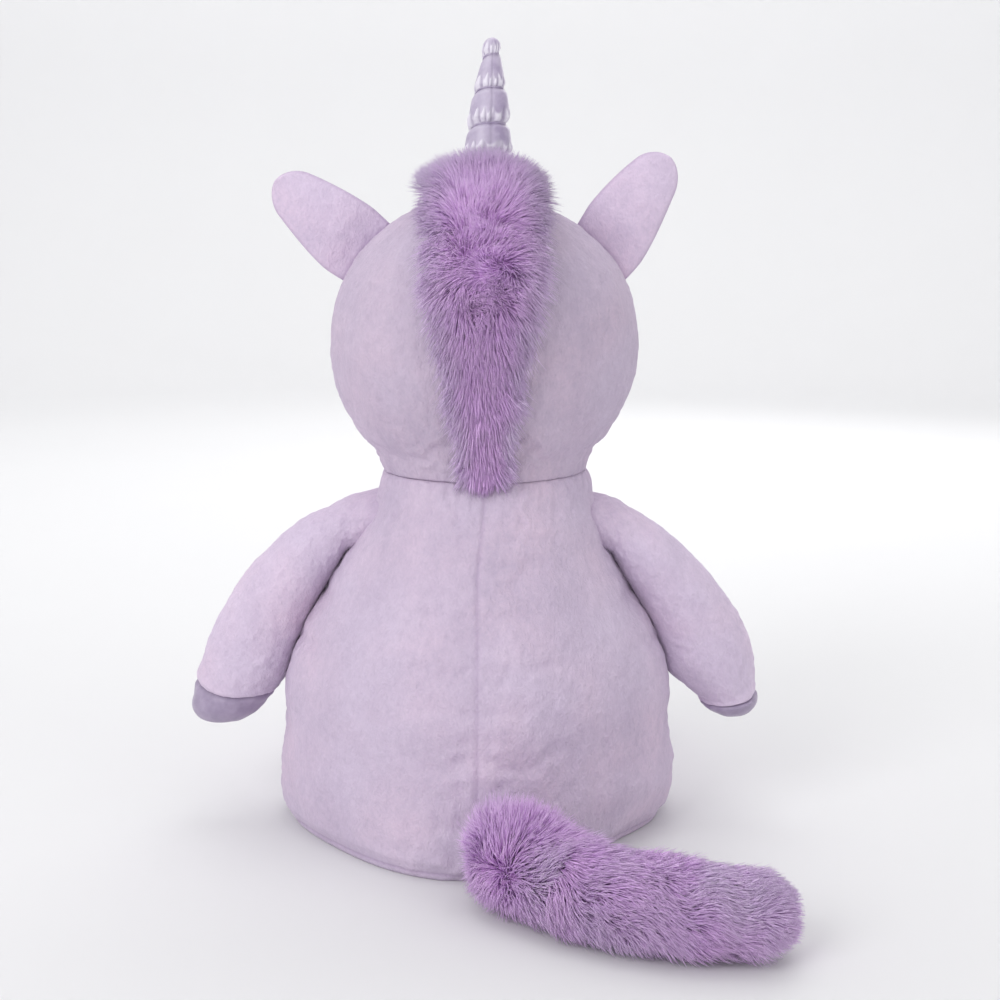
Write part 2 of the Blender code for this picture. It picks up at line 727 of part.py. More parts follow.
def build_ear(side, sign):
    """Two padded leaves, plush behind and satin in front, that flop about the line where they are sewn on."""
    seat = math.radians(EAR_SEAT)
    way = Vector((sign * math.cos(seat), 0.0, math.sin(seat)))
    start = HEAD_MIDDLE + BACKWARD * EAR_Y
    rise = math.radians(EAR_RAISE[side])
    out = Vector((sign * math.cos(rise), 0.0, math.sin(rise)))
    across = Vector((-sign * math.sin(rise), 0.0, math.cos(rise)))
    hinge = start + way * (head_distance(start, way)) + out * EAR_STANDOFF
    carrier = pivot(f"ear_pivot_{side}", hinge)

    def root(w):
        """Where the ear's root lies over the head, as a distance along the ear from the hinge line."""
        foot = hinge + across * w - out * 0.04
        if not in_head(foot):
            return 0.0
        return head_distance(foot, out) - 0.04 + SEAT_GAP

    columns = spread(-1.0, 1.0, 6)
    shares = round_end_spread(0.0, 0.985, 8, 1.4)
    leaves = {
        f"ear_back_{side}": (1.0, EAR_BACK_THICKNESS, "plush"),
        f"ear_lining_{side}": (-1.0, EAR_LINING_THICKNESS, "satin"),
    }
    for name, (face, thickness, finish) in leaves.items():
        rings = []
        for share in shares:
            half = ear_half_width(share)
            lean = 0.0045 * smoothstep(share) + 0.0022 * smoothstep(share / 0.3)
            ring_low, ring_high = [], []
            for c in columns:
                w = c * half + lean
                begin = root(w)
                along = begin + (EAR_LENGTH - begin) * share
                spot = hinge + out * along + across * w
                swell = EAR_ROOT_THICKNESS + (thickness - EAR_ROOT_THICKNESS) * smoothstep(share / 0.35)
                swell *= 1.0 - 0.45 * smoothstep((share - 0.5) / 0.5)
                bulge = SEAM_GAP / 2 + 0.0008 + (swell - 0.0008) * math.sqrt(max(1.0 - c * c, 0.0))
                ring_low.append(spot + BACKWARD * (face * SEAM_GAP / 2))
                ring_high.append(spot + BACKWARD * (face * bulge))
            ring = ring_low + ring_high[::-1]
            rings.append(ring if face * sign < 0 else ring[::-1])
        foot = hinge + out * root(0.0) + BACKWARD * (face * EAR_ROOT_THICKNESS / 2)
        lump(name, rings, (foot, middle(rings[-1])), finish, carrier)


# Arms


def flank(z, sign, lift):
    """A point beside the torso in its middle plane, lift metres off the surface."""
    step = 1e-4
    here, above, below = torso(0.0, z), torso(0.0, z + step), torso(0.0, z - step)
    rise = above - below
    out = Vector((rise.z, 0.0, -rise.x)).normalized()
    spot = here + out * lift
    return Vector((sign * spot.x, ARM_Y, spot.z))


def limb_shape(root, full, tip_share, grow=0.55):
    """Half thickness along a limb: root at its start, full past the grow share, and rounded over the last share."""

    def size(v):
        base = root + (full - root) * math.sin(min(v / grow, 1.0) * math.pi / 2) ** 0.9
        over = max(0.0, (v - (1.0 - tip_share)) / tip_share)
        return max(base * math.sqrt(max(1.0 - over * over, 0.0)), 1e-5)

    return size


def build_limb(names, surface, length, rows, hoof_start, root_share, carrier, sides=LIMB_SIDES):
    """A plush sleeve, a satin hoof over its end, and the stuffing in both. hoof_start(u) is where the satin begins."""
    around = turns_round(sides)
    seam = SEAM_GAP * 1.5 / length

    def sleeve(u, v):
        return surface(u, root_share + (hoof_start(u) - seam - root_share) * v)

    def hoof(u, v):
        begin = hoof_start(u) + seam
        return surface(u, begin + (1.0 - begin) * v)

    skin(names["sleeve"], sleeve, around, spread(0.0, 1.0, rows), PLUSH, "plush", carrier, closed=True)
    tip = surface(0.0, 1.0)
    cap_rows = round_end_spread(0.0, 0.93, 6)
    skin(names["hoof"], hoof, around, cap_rows, PLUSH, "satin", carrier, closed=True, pole=tip)
    inner = inset(surface, PLUSH + FILL_GAP)
    fill = [root_share + (0.93 - root_share) * (k + 0.5) / (rows + 1) for k in range(rows + 1)]
    rings = [[inner(u, v) for u in around] for v in fill]
    onward = (surface(0.0, 1.0) - surface(0.0, 0.999)).normalized()
    ends = (middle(rings[0]), middle(rings[-1]))
    lump(names["stuffing"], rings, ends, "stuffing", carrier)
    return onward


def build_arm(side, sign):
    """The arm follows the flank from the shoulder down, then runs on to its hoof."""
    top = TORSO_HEIGHT - SHOULDER_DROP
    size = limb_shape(ARM_ROOT_RADIUS, ARM_RADIUS, 0.14)
    depth = limb_shape(ARM_ROOT_DEPTH, ARM_DEPTH, 0.14)
    flank_share = 0.70
    spots = []
    for share in spread(0.0, 1.0, 5):
        lift = size(share * flank_share) + ARM_CLEARANCE
        spots.append(flank(top - ARM_FLANK * share, sign, lift))
    onward = (spots[-1] - spots[-2]).normalized()
    spots += [spots[-1] + onward * (ARM_REACH * 0.5), spots[-1] + onward * ARM_REACH]
    shoulder = spots[0].copy()
    turn = math.radians(ARM_REST[side]) * sign
    spots = [
        shoulder
        + Vector(
            (
                (p.x - shoulder.x) * math.cos(turn) - (p.z - shoulder.z) * math.sin(turn),
                0.0,
                (p.z - shoulder.z) * math.cos(turn) + (p.x - shoulder.x) * math.sin(turn),
            )
        )
        for p in spots
    ]
    path, length = spline(spots)
    surface = tube(path, size, depth, BACKWARD)
    carrier = pivot(f"arm_pivot_{side}", shoulder)

    def hoof_start(u):
        inward = math.cos(u) * sign
        shift = HOOF_SLANT_BACK * (math.sin(u) - 1) / 2 + HOOF_SLANT_IN * inward / 2
        return 1.0 - (HOOF_LENGTH[side] - HOOF_SLANT_BACK / 2 - shift) / length

    names = {key: f"arm_{key}_{side}" for key in ("sleeve", "hoof", "stuffing")}
    build_limb(names, surface, length, 9, hoof_start, 0.03, carrier)


# Legs


def build_leg(side, sign):
    """The leg lies forward on the floor, square to the belly where it is sewn on."""
    bearing = -math.radians(LEG_BEARING) if sign > 0 else math.pi + math.radians(LEG_BEARING)
    level = LEG_RADIUS + FLOOR_GAP
    step = 1e-3
    spot = torso(bearing, level)
    way = (torso(bearing + step, level) - torso(bearing - step, level)).cross(UP).normalized()
    widest = max(torso(bearing, z).xy.length for z in spread(0.0, 2 * level, 20)) - spot.xy.length
    root = spot + way * (LEG_ROOT_CLEARANCE + widest)
    path, length = spline([root, root + way * (LEG_LENGTH / 2), root + way * LEG_LENGTH])
    size = limb_shape(LEG_RADIUS * 0.93, LEG_RADIUS, 0.24, grow=0.5)

    def width(v):
        return size(v) * (1.0 + FOOT_FLARE * smoothstep(v / 0.8))

    surface = tube(path, width, size, UP)
    hip = root + UP * (LEG_RADIUS * 0.93)
    carrier = pivot(f"leg_pivot_{side}", hip)

    def hoof_start(u):
        return 1.0 - LEG_HOOF_LENGTH / length

    names = {key: f"leg_{key}_{side}" for key in ("sleeve", "hoof", "stuffing")}
    build_limb(names, surface, length, 5, hoof_start, 0.0, carrier)


# Tail


def build_tail():
    """A fur tube on the floor, that bends round to the toy's right."""
    level = TAIL_RADIUS + FLOOR_GAP
    root = torso(math.pi / 2, level) + BACKWARD * TAIL_ROOT_CLEARANCE
    widest = max(torso(math.pi / 2, z).y for z in spread(0.0, 2 * level, 20)) - torso(math.pi / 2, level).y
    root += BACKWARD * widest
    spots = [root]
    pieces = 6
    for k in range(pieces):
        share = (k + 0.5) / pieces
        bearing = math.radians(TAIL_START_BEARING + (TAIL_END_BEARING - TAIL_START_BEARING) * share**1.2)
        way = Vector((math.cos(bearing), math.sin(bearing), 0.0))
        spots.append(spots[-1] + way * (TAIL_LENGTH / pieces))
    path, length = spline(spots)

    def size(v):
        swell = math.sin(min(v * length / TAIL_ROOT_TAPER, 1.0) * math.pi / 2)
        base = TAIL_ROOT_RADIUS + (TAIL_RADIUS - TAIL_ROOT_RADIUS) * swell
        base *= 1.0 - 0.22 * smoothstep((v - 0.55) / 0.45)
        over = max(0.0, (v - 0.90) / 0.10)
        return max(base * math.sqrt(max(1.0 - over * over, 0.0)), 1e-5)

    surface = tube(path, size, size, UP)
    carrier = pivot("tail_pivot", root)
    around = turns_round(LIMB_SIDES)
    body_rows = [0.065, *spread(0.12, 0.86, 6)]
    rows = [0.0, 0.03, *body_rows, 0.92, 0.97]
    skin("tail_fur", surface, around, rows, FUR_BACKING, "fur", carrier, closed=True, pole=surface(0.0, 1.0))
    inner = inset(surface, FUR_BACKING + FILL_GAP)
    rings = [[inner(u, v) for u in around] for v in body_rows]
    lump("tail_stuffing", rings, (middle(rings[0]), middle(rings[-1])), "stuffing", carrier)


def main():
    for obj in list(bpy.data.objects):
        bpy.data.objects.remove(obj, do_unlink=True)
    build_torso()
    build_head()
    for side, sign in SIDES.items():
        build_ear(side, sign)
        build_arm(side, sign)
        build_leg(side, sign)
    build_tail()


main()
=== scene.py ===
"""Looks of the seated plush unicorn: its cloth, fur, satin and stitching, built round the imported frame.

Metres, +Z up. The toy faces -Y and its left side is +X. Every new piece is a surface of two parameters on a
grid, or a strand carried along a curve, worked out as whole arrays. u runs round a piece and v along it, so
that the cross product of the two directions points out of the piece.
"""

import json
import math

import bpy
import numpy as np
from bpy.props import FloatProperty, FloatVectorProperty, IntProperty, PointerProperty
from bpy.types import Operator, Panel, PropertyGroup
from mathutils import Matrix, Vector


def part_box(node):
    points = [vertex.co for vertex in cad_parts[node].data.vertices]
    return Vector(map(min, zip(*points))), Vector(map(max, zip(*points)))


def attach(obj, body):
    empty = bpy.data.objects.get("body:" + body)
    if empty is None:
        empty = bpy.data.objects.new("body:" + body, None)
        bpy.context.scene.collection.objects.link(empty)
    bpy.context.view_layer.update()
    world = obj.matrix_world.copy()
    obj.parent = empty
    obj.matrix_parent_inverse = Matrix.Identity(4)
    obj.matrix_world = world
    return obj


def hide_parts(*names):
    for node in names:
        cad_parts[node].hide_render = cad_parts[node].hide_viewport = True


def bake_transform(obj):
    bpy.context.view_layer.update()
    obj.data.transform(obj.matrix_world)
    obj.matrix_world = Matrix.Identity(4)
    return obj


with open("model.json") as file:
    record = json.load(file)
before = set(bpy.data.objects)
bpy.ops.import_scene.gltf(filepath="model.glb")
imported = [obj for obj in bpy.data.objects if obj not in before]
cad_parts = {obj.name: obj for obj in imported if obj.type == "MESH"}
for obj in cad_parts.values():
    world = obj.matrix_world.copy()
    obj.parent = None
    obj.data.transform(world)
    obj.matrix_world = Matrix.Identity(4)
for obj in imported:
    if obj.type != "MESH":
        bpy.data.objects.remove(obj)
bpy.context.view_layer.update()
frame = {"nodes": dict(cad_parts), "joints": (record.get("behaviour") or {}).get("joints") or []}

bl_info = {
    "name": "Plush Unicorn Looks",
    "version": (1, 0, 0),
    "blender": (4, 5, 0),
    "location": "3D View > Sidebar > Plush",
    "description": "Sews cloth, fur and satin onto the frame of a seated plush unicorn",
    "category": "Add Mesh",
}

TURN = 2 * math.pi
BACK = math.pi / 2  # the angle u of a piece's back
UP = np.array([0.0, 0.0, 1.0])
BACKWARD = np.array([0.0, 1.0, 0.0])
SIDES = {"left": 1.0, "right": -1.0}
JOINTS = {joint["name"]: joint for joint in frame["joints"]}


def box_of(*nodes):
    """The lowest and highest corner of several frame nodes together."""
    corners = np.array([[list(corner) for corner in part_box(node)] for node in nodes])
    return corners[:, 0].min(axis=0), corners[:, 1].max(axis=0)


def joint_place(name):
    return np.array(JOINTS[name]["pos_m"], float)


# Sizes read from the frame
BODY_LOW, BODY_HIGH = box_of("torso_back_left", "torso_back_right", "torso_belly", "base_panel")
HEAD_LOW, HEAD_HIGH = box_of("head_left", "head_right", "face_panel")
NECK_LEVEL = joint_place("head_turn")[2]
BODY_HALF_WIDTH = BODY_HIGH[0]
BODY_BACK = BODY_HIGH[1]
BODY_BELLY = -BODY_LOW[1]
HEAD_HALF_WIDTH = HEAD_HIGH[0]
HEAD_BACK = HEAD_HIGH[1]
HEAD_FACE = -HEAD_LOW[1]

# Shapes shared with the frame
NECK_RADIUS = 0.050
BACK_RIDGE = 0.075
BODY_SHAPE = (
    (0.0, 0.91),
    (0.06, 1.0),
    (0.18, 0.97),
    (0.32, 0.92),
    (0.45, 0.90),
    (0.58, 0.74),
    (0.71, 0.48),
    (0.83, 0.24),
    (0.93, 0.07),
    (1.0, 0.0),
)
HEAD_LOWER = 0.071
HEAD_UPPER = 0.066
HEAD_LEVEL = NECK_LEVEL + HEAD_LOWER
HEAD_MIDDLE = np.array([0.0, 0.0, HEAD_LEVEL])
CHEEK_POWER = 1.45
CROWN_POWER = 1.05
BODY_ASIDE = 0.0030  # how far the body sits to the toy's left of its neck
NECK_RISE = 0.0065  # how far the neck's seam is lifted, fading over NECK_FADE above and below it
NECK_FADE = 0.017
FACE_SEAM = math.radians(30)  # the face panel's edge in front of the side
MUZZLE_HALF_WIDTH = 0.034
MUZZLE_HALF_HEIGHT = 0.027
MUZZLE_LENGTH = 0.032
MUZZLE_LEVEL = HEAD_LEVEL - 0.024
MUZZLE_SEAT = 0.0024
HORN_LENGTH = 0.0825
HORN_LEAN = math.radians(14)
HORN_SEAT = math.radians(19)
EAR_LENGTH = 0.050
EAR_HALF_WIDTH = 0.0195
EAR_BACK_THICKNESS = 0.0048
EAR_LINING_THICKNESS = 0.0038
EAR_ROOT_THICKNESS = 0.0013
EAR_SHAPE = (
    (0.0, 0.89),
    (0.12, 0.93),
    (0.24, 0.95),
    (0.40, 0.90),
    (0.55, 0.82),
    (0.70, 0.72),
    (0.82, 0.63),
    (1.0, 0.52),
)
EAR_LEAN = {"left": 0.0030, "right": 0.0068}  # how far a leaf's tip leans up
MANE_HALF_WIDTH = 0.020
MANE_START, MANE_END = 92.0, -46.0
MANE_NAPE_SHARE = 0.35
# The arms' outer and inner edges in the plane y = ARM_LEVEL, from the shoulder to the hoof
ARM_LEVEL = joint_place("arm_lift_left")[1]
ARM_EDGES = {
    "left": (
        (0.0530, 0.1686, 0.0670, 0.1385),
        (0.0650, 0.1632, 0.0690, 0.1365),
        (0.0770, 0.1575, 0.0722, 0.1320),
        (0.0910, 0.1500, 0.0765, 0.1255),
        (0.1060, 0.1378, 0.0816, 0.1165),
        (0.1202, 0.1215, 0.0880, 0.1035),
        (0.1301, 0.1061, 0.0940, 0.0895),
        (0.1381, 0.0907, 0.0985, 0.0775),
        (0.1432, 0.0751, 0.1035, 0.0675),
        (0.1457, 0.0620, 0.1100, 0.0600),
    ),
    "right": (
        (0.0520, 0.1680, 0.0650, 0.1375),
        (0.0620, 0.1632, 0.0670, 0.1352),
        (0.0725, 0.1575, 0.0700, 0.1305),
        (0.0865, 0.1485, 0.0745, 0.1235),
        (0.1010, 0.1368, 0.0795, 0.1145),
        (0.1148, 0.1215, 0.0858, 0.1015),
        (0.1256, 0.1061, 0.0920, 0.0885),
        (0.1326, 0.0907, 0.0965, 0.0770),
        (0.1355, 0.0751, 0.1010, 0.0672),
        (0.1365, 0.0640, 0.1080, 0.0615),
    ),
}
# Their half depths, how far the rounded ends reach past the last edge points, and the hooves' seams: the place
# along the arm, and how far it moves at the outer side and behind
ARM_DEPTHS = (0.0175, 0.0178, 0.0185, 0.0195, 0.0205, 0.0210, 0.0210, 0.0207, 0.0198, 0.0180)
ARM_TIPS = {"left": (0.0060, -0.0125), "right": (0.0045, -0.0105)}
ARM_SEAMS = {"left": (8.25, 0.0, 0.30), "right": (9.10, -0.25, 0.25)}
ARM_LENGTH = 0.132
ARM_BEND = 0.018  # how far out from its hinge an arm's cloth still bends
LEG_RADIUS = 0.024
LEG_LENGTH = 0.078
LEG_BEARING = math.radians(62)
LEG_HOOF = 0.022
FOOT_FLARE = 0.10
TAIL_RADIUS, TAIL_ROOT_RADIUS, TAIL_ROOT_TAPER = 0.0178, 0.0070, 0.022
TAIL_LENGTH = 0.150
TAIL_BEARINGS = (128.0, 186.0)
FLOOR_GAP = 0.0002
FILL_INSET = 0.0046  # from the middle of a cloth to the stuffing behind it
FLOOR_PRESS = 0.006  # the depth over which hairs on the floor are pressed flat
STUFFING_PRESSURE = 4.0
STUFFING_FRAMES = 20


# Numbers and curves, on whole arrays


def smoothstep(x):
    x = np.clip(x, 0.0, 1.0)
    return x * x * (3.0 - 2.0 * x)


def mix(a, b, share):
    return a + (b - a) * share


def angle_gap(u, line):
    """The angle between u and a line round a piece, either way."""
    return np.abs((u - line + math.pi) % TURN - math.pi)


def unit(vectors):
    return vectors / np.maximum(np.linalg.norm(vectors, axis=-1, keepdims=True), 1e-12)


def bell(distance, width):
    """1 on a line, falling to nothing a few widths away, as a normal curve does."""
    return np.exp(-((distance / width) ** 2))


def through(table, x):
    """The cubic through (x, y) points whose slope at each point is its neighbours' slope."""
    xs, ys = np.array(table, float).T
    last = len(xs) - 1
    before, after = np.maximum(np.arange(last + 1) - 1, 0), np.minimum(np.arange(last + 1) + 1, last)
    slopes = (ys[after] - ys[before]) / (xs[after] - xs[before])
    i = np.clip(np.searchsorted(xs, x, side="right") - 1, 0, last - 1)
    span = xs[i + 1] - xs[i]
    t = (x - xs[i]) / span
    return (
        ys[i] * (1 + 2 * t) * (1 - t) ** 2
        + span * slopes[i] * t * (1 - t) ** 2
        + ys[i + 1] * t * t * (3 - 2 * t)
        + span * slopes[i + 1] * t * t * (t - 1)
    )


def spline(points, steps=40):
    """A Catmull-Rom curve through the points, read by its share of the length and straight past its ends."""
    pts = np.vstack([2 * points[0] - points[1], points, 2 * points[-1] - points[-2]])
    t = (np.arange(steps) / steps)[None, :, None]
    a, b, c, d = (pts[k : k + len(points) - 1][:, None, :] for k in range(4))
    runs = 0.5 * (2 * b + (c - a) * t + (2 * a - 5 * b + 4 * c - d) * t**2 + (3 * b - a - 3 * c + d) * t**3)
    line = np.vstack([runs.reshape(-1, 3), points[-1:]])
    lengths = np.concatenate([[0.0], np.cumsum(np.linalg.norm(np.diff(line, axis=0), axis=1))])
    first = (line[1] - line[0]) / lengths[1]
    last = (line[-1] - line[-2]) / (lengths[-1] - lengths[-2])

    def at(share):
        reach = np.asarray(share, float) * lengths[-1]
        inside = np.stack([np.interp(reach, lengths, line[:, k]) for k in range(3)], axis=-1)
        before, beyond = np.minimum(reach, 0.0), np.maximum(reach - lengths[-1], 0.0)
        return inside + before[..., None] * first + beyond[..., None] * last

    return at, float(lengths[-1])


def soft_noise(points, size, seed, stretch=(1.0, 1.0, 1.0)):
    """Smooth noise from -1 to 1: random values on a lattice of cells size metres wide, blended within each."""
    cells = 32
    table = np.random.default_rng(seed).uniform(-1.0, 1.0, (cells, cells, cells))
    place = points / (size * np.array(stretch)) + 97.3
    base = np.floor(place).astype(int)
    f = place - base
    f = f * f * (3.0 - 2.0 * f)
    total = 0.0
    for corner in range(8):
        step = np.array([corner & 1, corner >> 1 & 1, corner >> 2 & 1])
        weight = np.prod(np.where(step == 1, f, 1.0 - f), axis=-1)
        x, y, z = np.moveaxis((base + step) % cells, -1, 0)
        total = total + weight * table[x, y, z]
    return total


# Surfaces shared with the frame


def body_surface(u, z):
    """The body at angle u and height z: half an ellipse behind and half one in front. Their half sizes go from
    the neck's radius to the full width by the body's table, and the back is drawn in beside its seam."""
    share = through(BODY_SHAPE, z / NECK_LEVEL)
    behind = np.sin(u) > 0
    depth = np.where(behind, BODY_BACK, BODY_BELLY)
    half_width = NECK_RADIUS + (BODY_HALF_WIDTH - NECK_RADIUS) * share
    half_depth = NECK_RADIUS + (depth - NECK_RADIUS) * share
    drawn_in = 1.0 - np.where(behind, BACK_RIDGE * share, 0.0) * np.sin(2 * u) ** 2
    z = np.broadcast_to(z, np.shape(drawn_in))
    return np.stack([half_width * np.cos(u) * drawn_in, half_depth * np.sin(u) * drawn_in, z], axis=-1)


def head_axes(z, behind):
    """The head's half width and half depth at a height: a cheek curve up to the widest level, then a dome."""
    depth = np.where(behind, HEAD_BACK, HEAD_FACE)
    down = np.clip((HEAD_LEVEL - z) / HEAD_LOWER, 0.0, 1.0)
    cheek = 1.0 - smoothstep(down**CHEEK_POWER)
    rise = np.clip((z - HEAD_LEVEL) / HEAD_UPPER, 0.0, 1.0)
    crown = np.sqrt(1.0 - rise * rise) ** CROWN_POWER
    low = z < HEAD_LEVEL
    wide = np.where(low, NECK_RADIUS + (HEAD_HALF_WIDTH - NECK_RADIUS) * cheek, HEAD_HALF_WIDTH * crown)
    deep = np.where(low, NECK_RADIUS + (depth - NECK_RADIUS) * cheek, depth * crown)
    return wide, deep


def head_surface(u, v):
    """The head at angle u, with v from 0 at the neck to 1 at the crown in equal turns over the dome."""
    split = HEAD_LOWER / (HEAD_LOWER + HEAD_UPPER * math.pi / 2)
    dome = np.sin(np.clip((v - split) / (1 - split), 0.0, 1.0) * math.pi / 2)
    z = np.where(v < split, NECK_LEVEL + HEAD_LOWER * v / split, HEAD_LEVEL + HEAD_UPPER * dome)
    wide, deep = head_axes(z, np.sin(u) > 0)
    return np.stack(np.broadcast_arrays(wide * np.cos(u), deep * np.sin(u), z), axis=-1)


def in_head(points):
    """Whether points are within the head's ellipse at their own height."""
    wide, deep = head_axes(points[..., 2], points[..., 1] > 0)
    across, along = points[..., 0] / np.maximum(wide, 1e-9), points[..., 1] / np.maximum(deep, 1e-9)
    return across**2 + along**2 < 1.0


def head_distance(start, way, reach=0.16):
    """How far the head's surface is from points inside it, along directions that leave it, by halving."""
    shape = np.broadcast_shapes(start.shape, way.shape)[:-1]
    near, far = np.zeros(shape), np.full(shape, reach)
    for _ in range(36):
        middle = (near + far) / 2
        p = start + way * middle[..., None]
        inside = in_head(p) & (p[..., 2] < HEAD_LEVEL + HEAD_UPPER) & (p[..., 2] > NECK_LEVEL)
        near, far = np.where(inside, middle, near), np.where(inside, far, middle)
    return near


def face_spot(x, z, lift):
    """A point in front of the face at a given offset and height, lift metres off its surface."""
    wide, deep = head_axes(z, False)
    y = -deep * np.sqrt(np.maximum(1.0 - (x / wide) ** 2, 0.0)) - lift
    return np.stack(np.broadcast_arrays(x, y, z), axis=-1)


def muzzle_surface(u, v):
    """The muzzle: an ellipse sewn to the face at v 0 that closes to the nose's tip at v 1."""
    close = np.maximum(np.cos(v * math.pi / 2), 0.0) ** 0.7
    x, z = MUZZLE_HALF_WIDTH * np.cos(u), MUZZLE_HALF_HEIGHT * np.sin(u)
    seat = face_spot(x, MUZZLE_LEVEL + z, MUZZLE_SEAT)
    tip_y = face_spot(0.0, MUZZLE_LEVEL, MUZZLE_LENGTH)[1]
    y = seat[..., 1] + (tip_y - seat[..., 1]) * np.sin(v * math.pi / 2)
    return np.stack(np.broadcast_arrays(x * close, y, MUZZLE_LEVEL + z * close), axis=-1)


def muzzle_spot(x, z):
    """The angle and the share of the muzzle's surface that are in front of an offset and a height."""
    across, up = x / MUZZLE_HALF_WIDTH, (z - MUZZLE_LEVEL) / MUZZLE_HALF_HEIGHT
    share = np.minimum(np.hypot(across, up), 0.999)
    return np.arctan2(up, across), np.arccos(share ** (1 / 0.7)) * 2 / math.pi


def tube(path, radius, depth, across):
    """A surface round a path: radius and depth are its half sizes at a share of the path, and across is the way
    of its depth."""
    step = 1e-3

    def surface(u, v):
        onward = unit(path(v + step) - path(v - step))
        side = unit(np.cross(across, onward))
        rise = np.cross(onward, side)
        return path(v) + side * (radius(v) * np.cos(u))[..., None] + rise * (depth(v) * np.sin(u))[..., None]

    return surface


def limb_size(root, full, tip_share, grow=0.55):
    """Half thickness along a limb: root at its start, full past the grow share, and rounded over its end."""

    def size(v):
        base = root + (full - root) * np.sin(np.clip(v / grow, 0.0, 1.0) * math.pi / 2) ** 0.9
        over = np.maximum(0.0, (v - (1.0 - tip_share)) / tip_share)
        return np.maximum(base * np.sqrt(np.maximum(1.0 - over * over, 0.0)), 1e-5)

    return size


def body_aside(z):
    """How far to the toy's left the body is at a height. It comes back under the neck."""
    return BODY_ASIDE * smoothstep((0.165 - z) / 0.030)


def body_cut(u, z):
    """The stuffing's settling: the body's lower corners behind are drawn in, most of all on its right side."""
    right = 0.0105 * bell(angle_gap(u, math.radians(150)), 0.55)
    left = 0.0045 * bell(angle_gap(u, math.radians(25)), 0.5)
    return (right + left) * smoothstep((0.034 - z) / 0.030)


def settle(points, u, z):
    """The body's points, moved aside and drawn in at its lower corners."""
    cut = body_cut(u, z)
    points[..., 0] += body_aside(z) - np.cos(u) * cut
    points[..., 1] -= np.sin(u) * cut
    return points


def inset(points, by):
    """A grid's points moved in along the way they face."""
    return points - grid_normals(points) * by


NECK_BEND = ((0, 0, NECK_LEVEL - 0.014), (0, 0, NECK_LEVEL + 0.024))


def neck_rise(points):
    """Moves the neck's seam up to where it is sewn: a smooth lift that fades away from the seam."""
    lift = NECK_RISE * bell(points[..., 2] - NECK_LEVEL, NECK_FADE)
    return points + UP * lift[..., None]


def before_rise(z):
    """The height a point had before that lift, by settling on the one whose lift reaches it."""
    low = z
    for _ in range(12):
        low = z - NECK_RISE * bell(low - NECK_LEVEL, NECK_FADE)
    return low


# Meshes


def grid_of(surface, us, vs):
    """The surface's points as rows of v and columns of u."""
    u, v = np.meshgrid(us, vs)
    return surface(u, v)


def rounds(count):
    """Angles in equal steps round a piece."""
    return np.arange(count) * TURN / count


def rounded_rows(first, last, count, reach, more):
    """Even rows from first to last, and more of them, closer and closer, over the rounded end's reach."""
    end = np.sin(np.linspace(0.1, 1.0, more) * math.pi / 2)
    return np.concatenate([np.linspace(first, last, count), last + reach * end])


def grid_normals(points, closed=True):
    """The way a grid of points faces: the cross product of its steps along a row and up a column."""
    if closed:
        along = np.roll(points, -1, axis=1) - np.roll(points, 1, axis=1)
    else:
        along = np.gradient(points, axis=1)
    return unit(np.cross(along, np.gradient(points, axis=0)))


def make_mesh(name, points, triangles, material, attributes=None, quads=None):
    """An object with these corners and faces, at the origin, shaded smooth."""
    mesh = bpy.data.meshes.new(name)
    mesh.vertices.add(len(points))
    mesh.vertices.foreach_set("co", np.ascontiguousarray(points, np.float32).ravel())
    quads = np.zeros((0, 4), int) if quads is None else quads
    corners = np.concatenate([quads.ravel(), triangles.ravel()]).astype(np.int32)
    starts = np.concatenate([np.arange(len(quads)) * 4, len(quads) * 4 + np.arange(len(triangles)) * 3])
    mesh.loops.add(len(corners))
    mesh.loops.foreach_set("vertex_index", corners)
    mesh.polygons.add(len(starts))
    mesh.polygons.foreach_set("loop_start", starts.astype(np.int32))
    mesh.polygons.foreach_set("use_smooth", np.ones(len(starts), bool))
    mesh.update(calc_edges=True)
    for key, values in (attributes or {}).items():
        layer = mesh.attributes.new(key, "FLOAT", "POINT")
        layer.data.foreach_set("value", np.ascontiguousarray(values, np.float32).ravel())
    if mesh.validate():
        raise RuntimeError(f"{name} has faces that are not whole")
    mesh.materials.append(material)
    obj = bpy.data.objects.new(name, mesh)
    bpy.context.scene.collection.objects.link(obj)
    return obj


def closed_grid(points, low, high):
    """Corners, four-sided and three-sided faces of a grid closed round its columns and at either end."""
    rows, columns = points.shape[:2]
    r, c = np.meshgrid(np.arange(rows - 1), np.arange(columns), indexing="ij")
    n = (c + 1) % columns
    below, above = r * columns, (r + 1) * columns
    quads = np.stack([below + c, below + n, above + n, above + c], axis=-1)
    first, last, ring = rows * columns, rows * columns + 1, np.arange(columns)
    after, top = (ring + 1) % columns, (rows - 1) * columns
    ends = np.concatenate(
        [
            np.stack([after, ring, np.full(columns, first)], axis=-1),
            np.stack([top + ring, top + after, np.full(columns, last)], axis=-1),
        ]
    )
    return np.vstack([points.reshape(-1, 3), low, high]), quads.reshape(-1, 4), ends


def skin(name, points, material, low=None, high=None, attributes=None):
    """A closed piece from a grid: a point at either end closes it, by default the middle of the end row."""
    low = points[0].mean(axis=0) if low is None else low
    high = points[-1].mean(axis=0) if high is None else high
    corners, quads, ends = closed_grid(points, low, high)
    full = {}
    for key, values in (attributes or {}).items():
        spread = np.broadcast_to(values, points.shape[:2]).ravel()
        full[key] = np.concatenate([spread, [values.flat[0], values.flat[-1]]])
    return make_mesh(name, corners, ends, material, full, quads)


def finish(obj, bodies, nodes=(), bend=None):
    """Parents a finished piece to the empty of the body it rides on, or, given a bend, bakes its place into its
    mesh instead, and hides the frame nodes it stands for.
    """
    if bend is None:
        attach(obj, bodies)
    else:
        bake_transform(obj)
    if nodes:
        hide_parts(*nodes)
    return obj


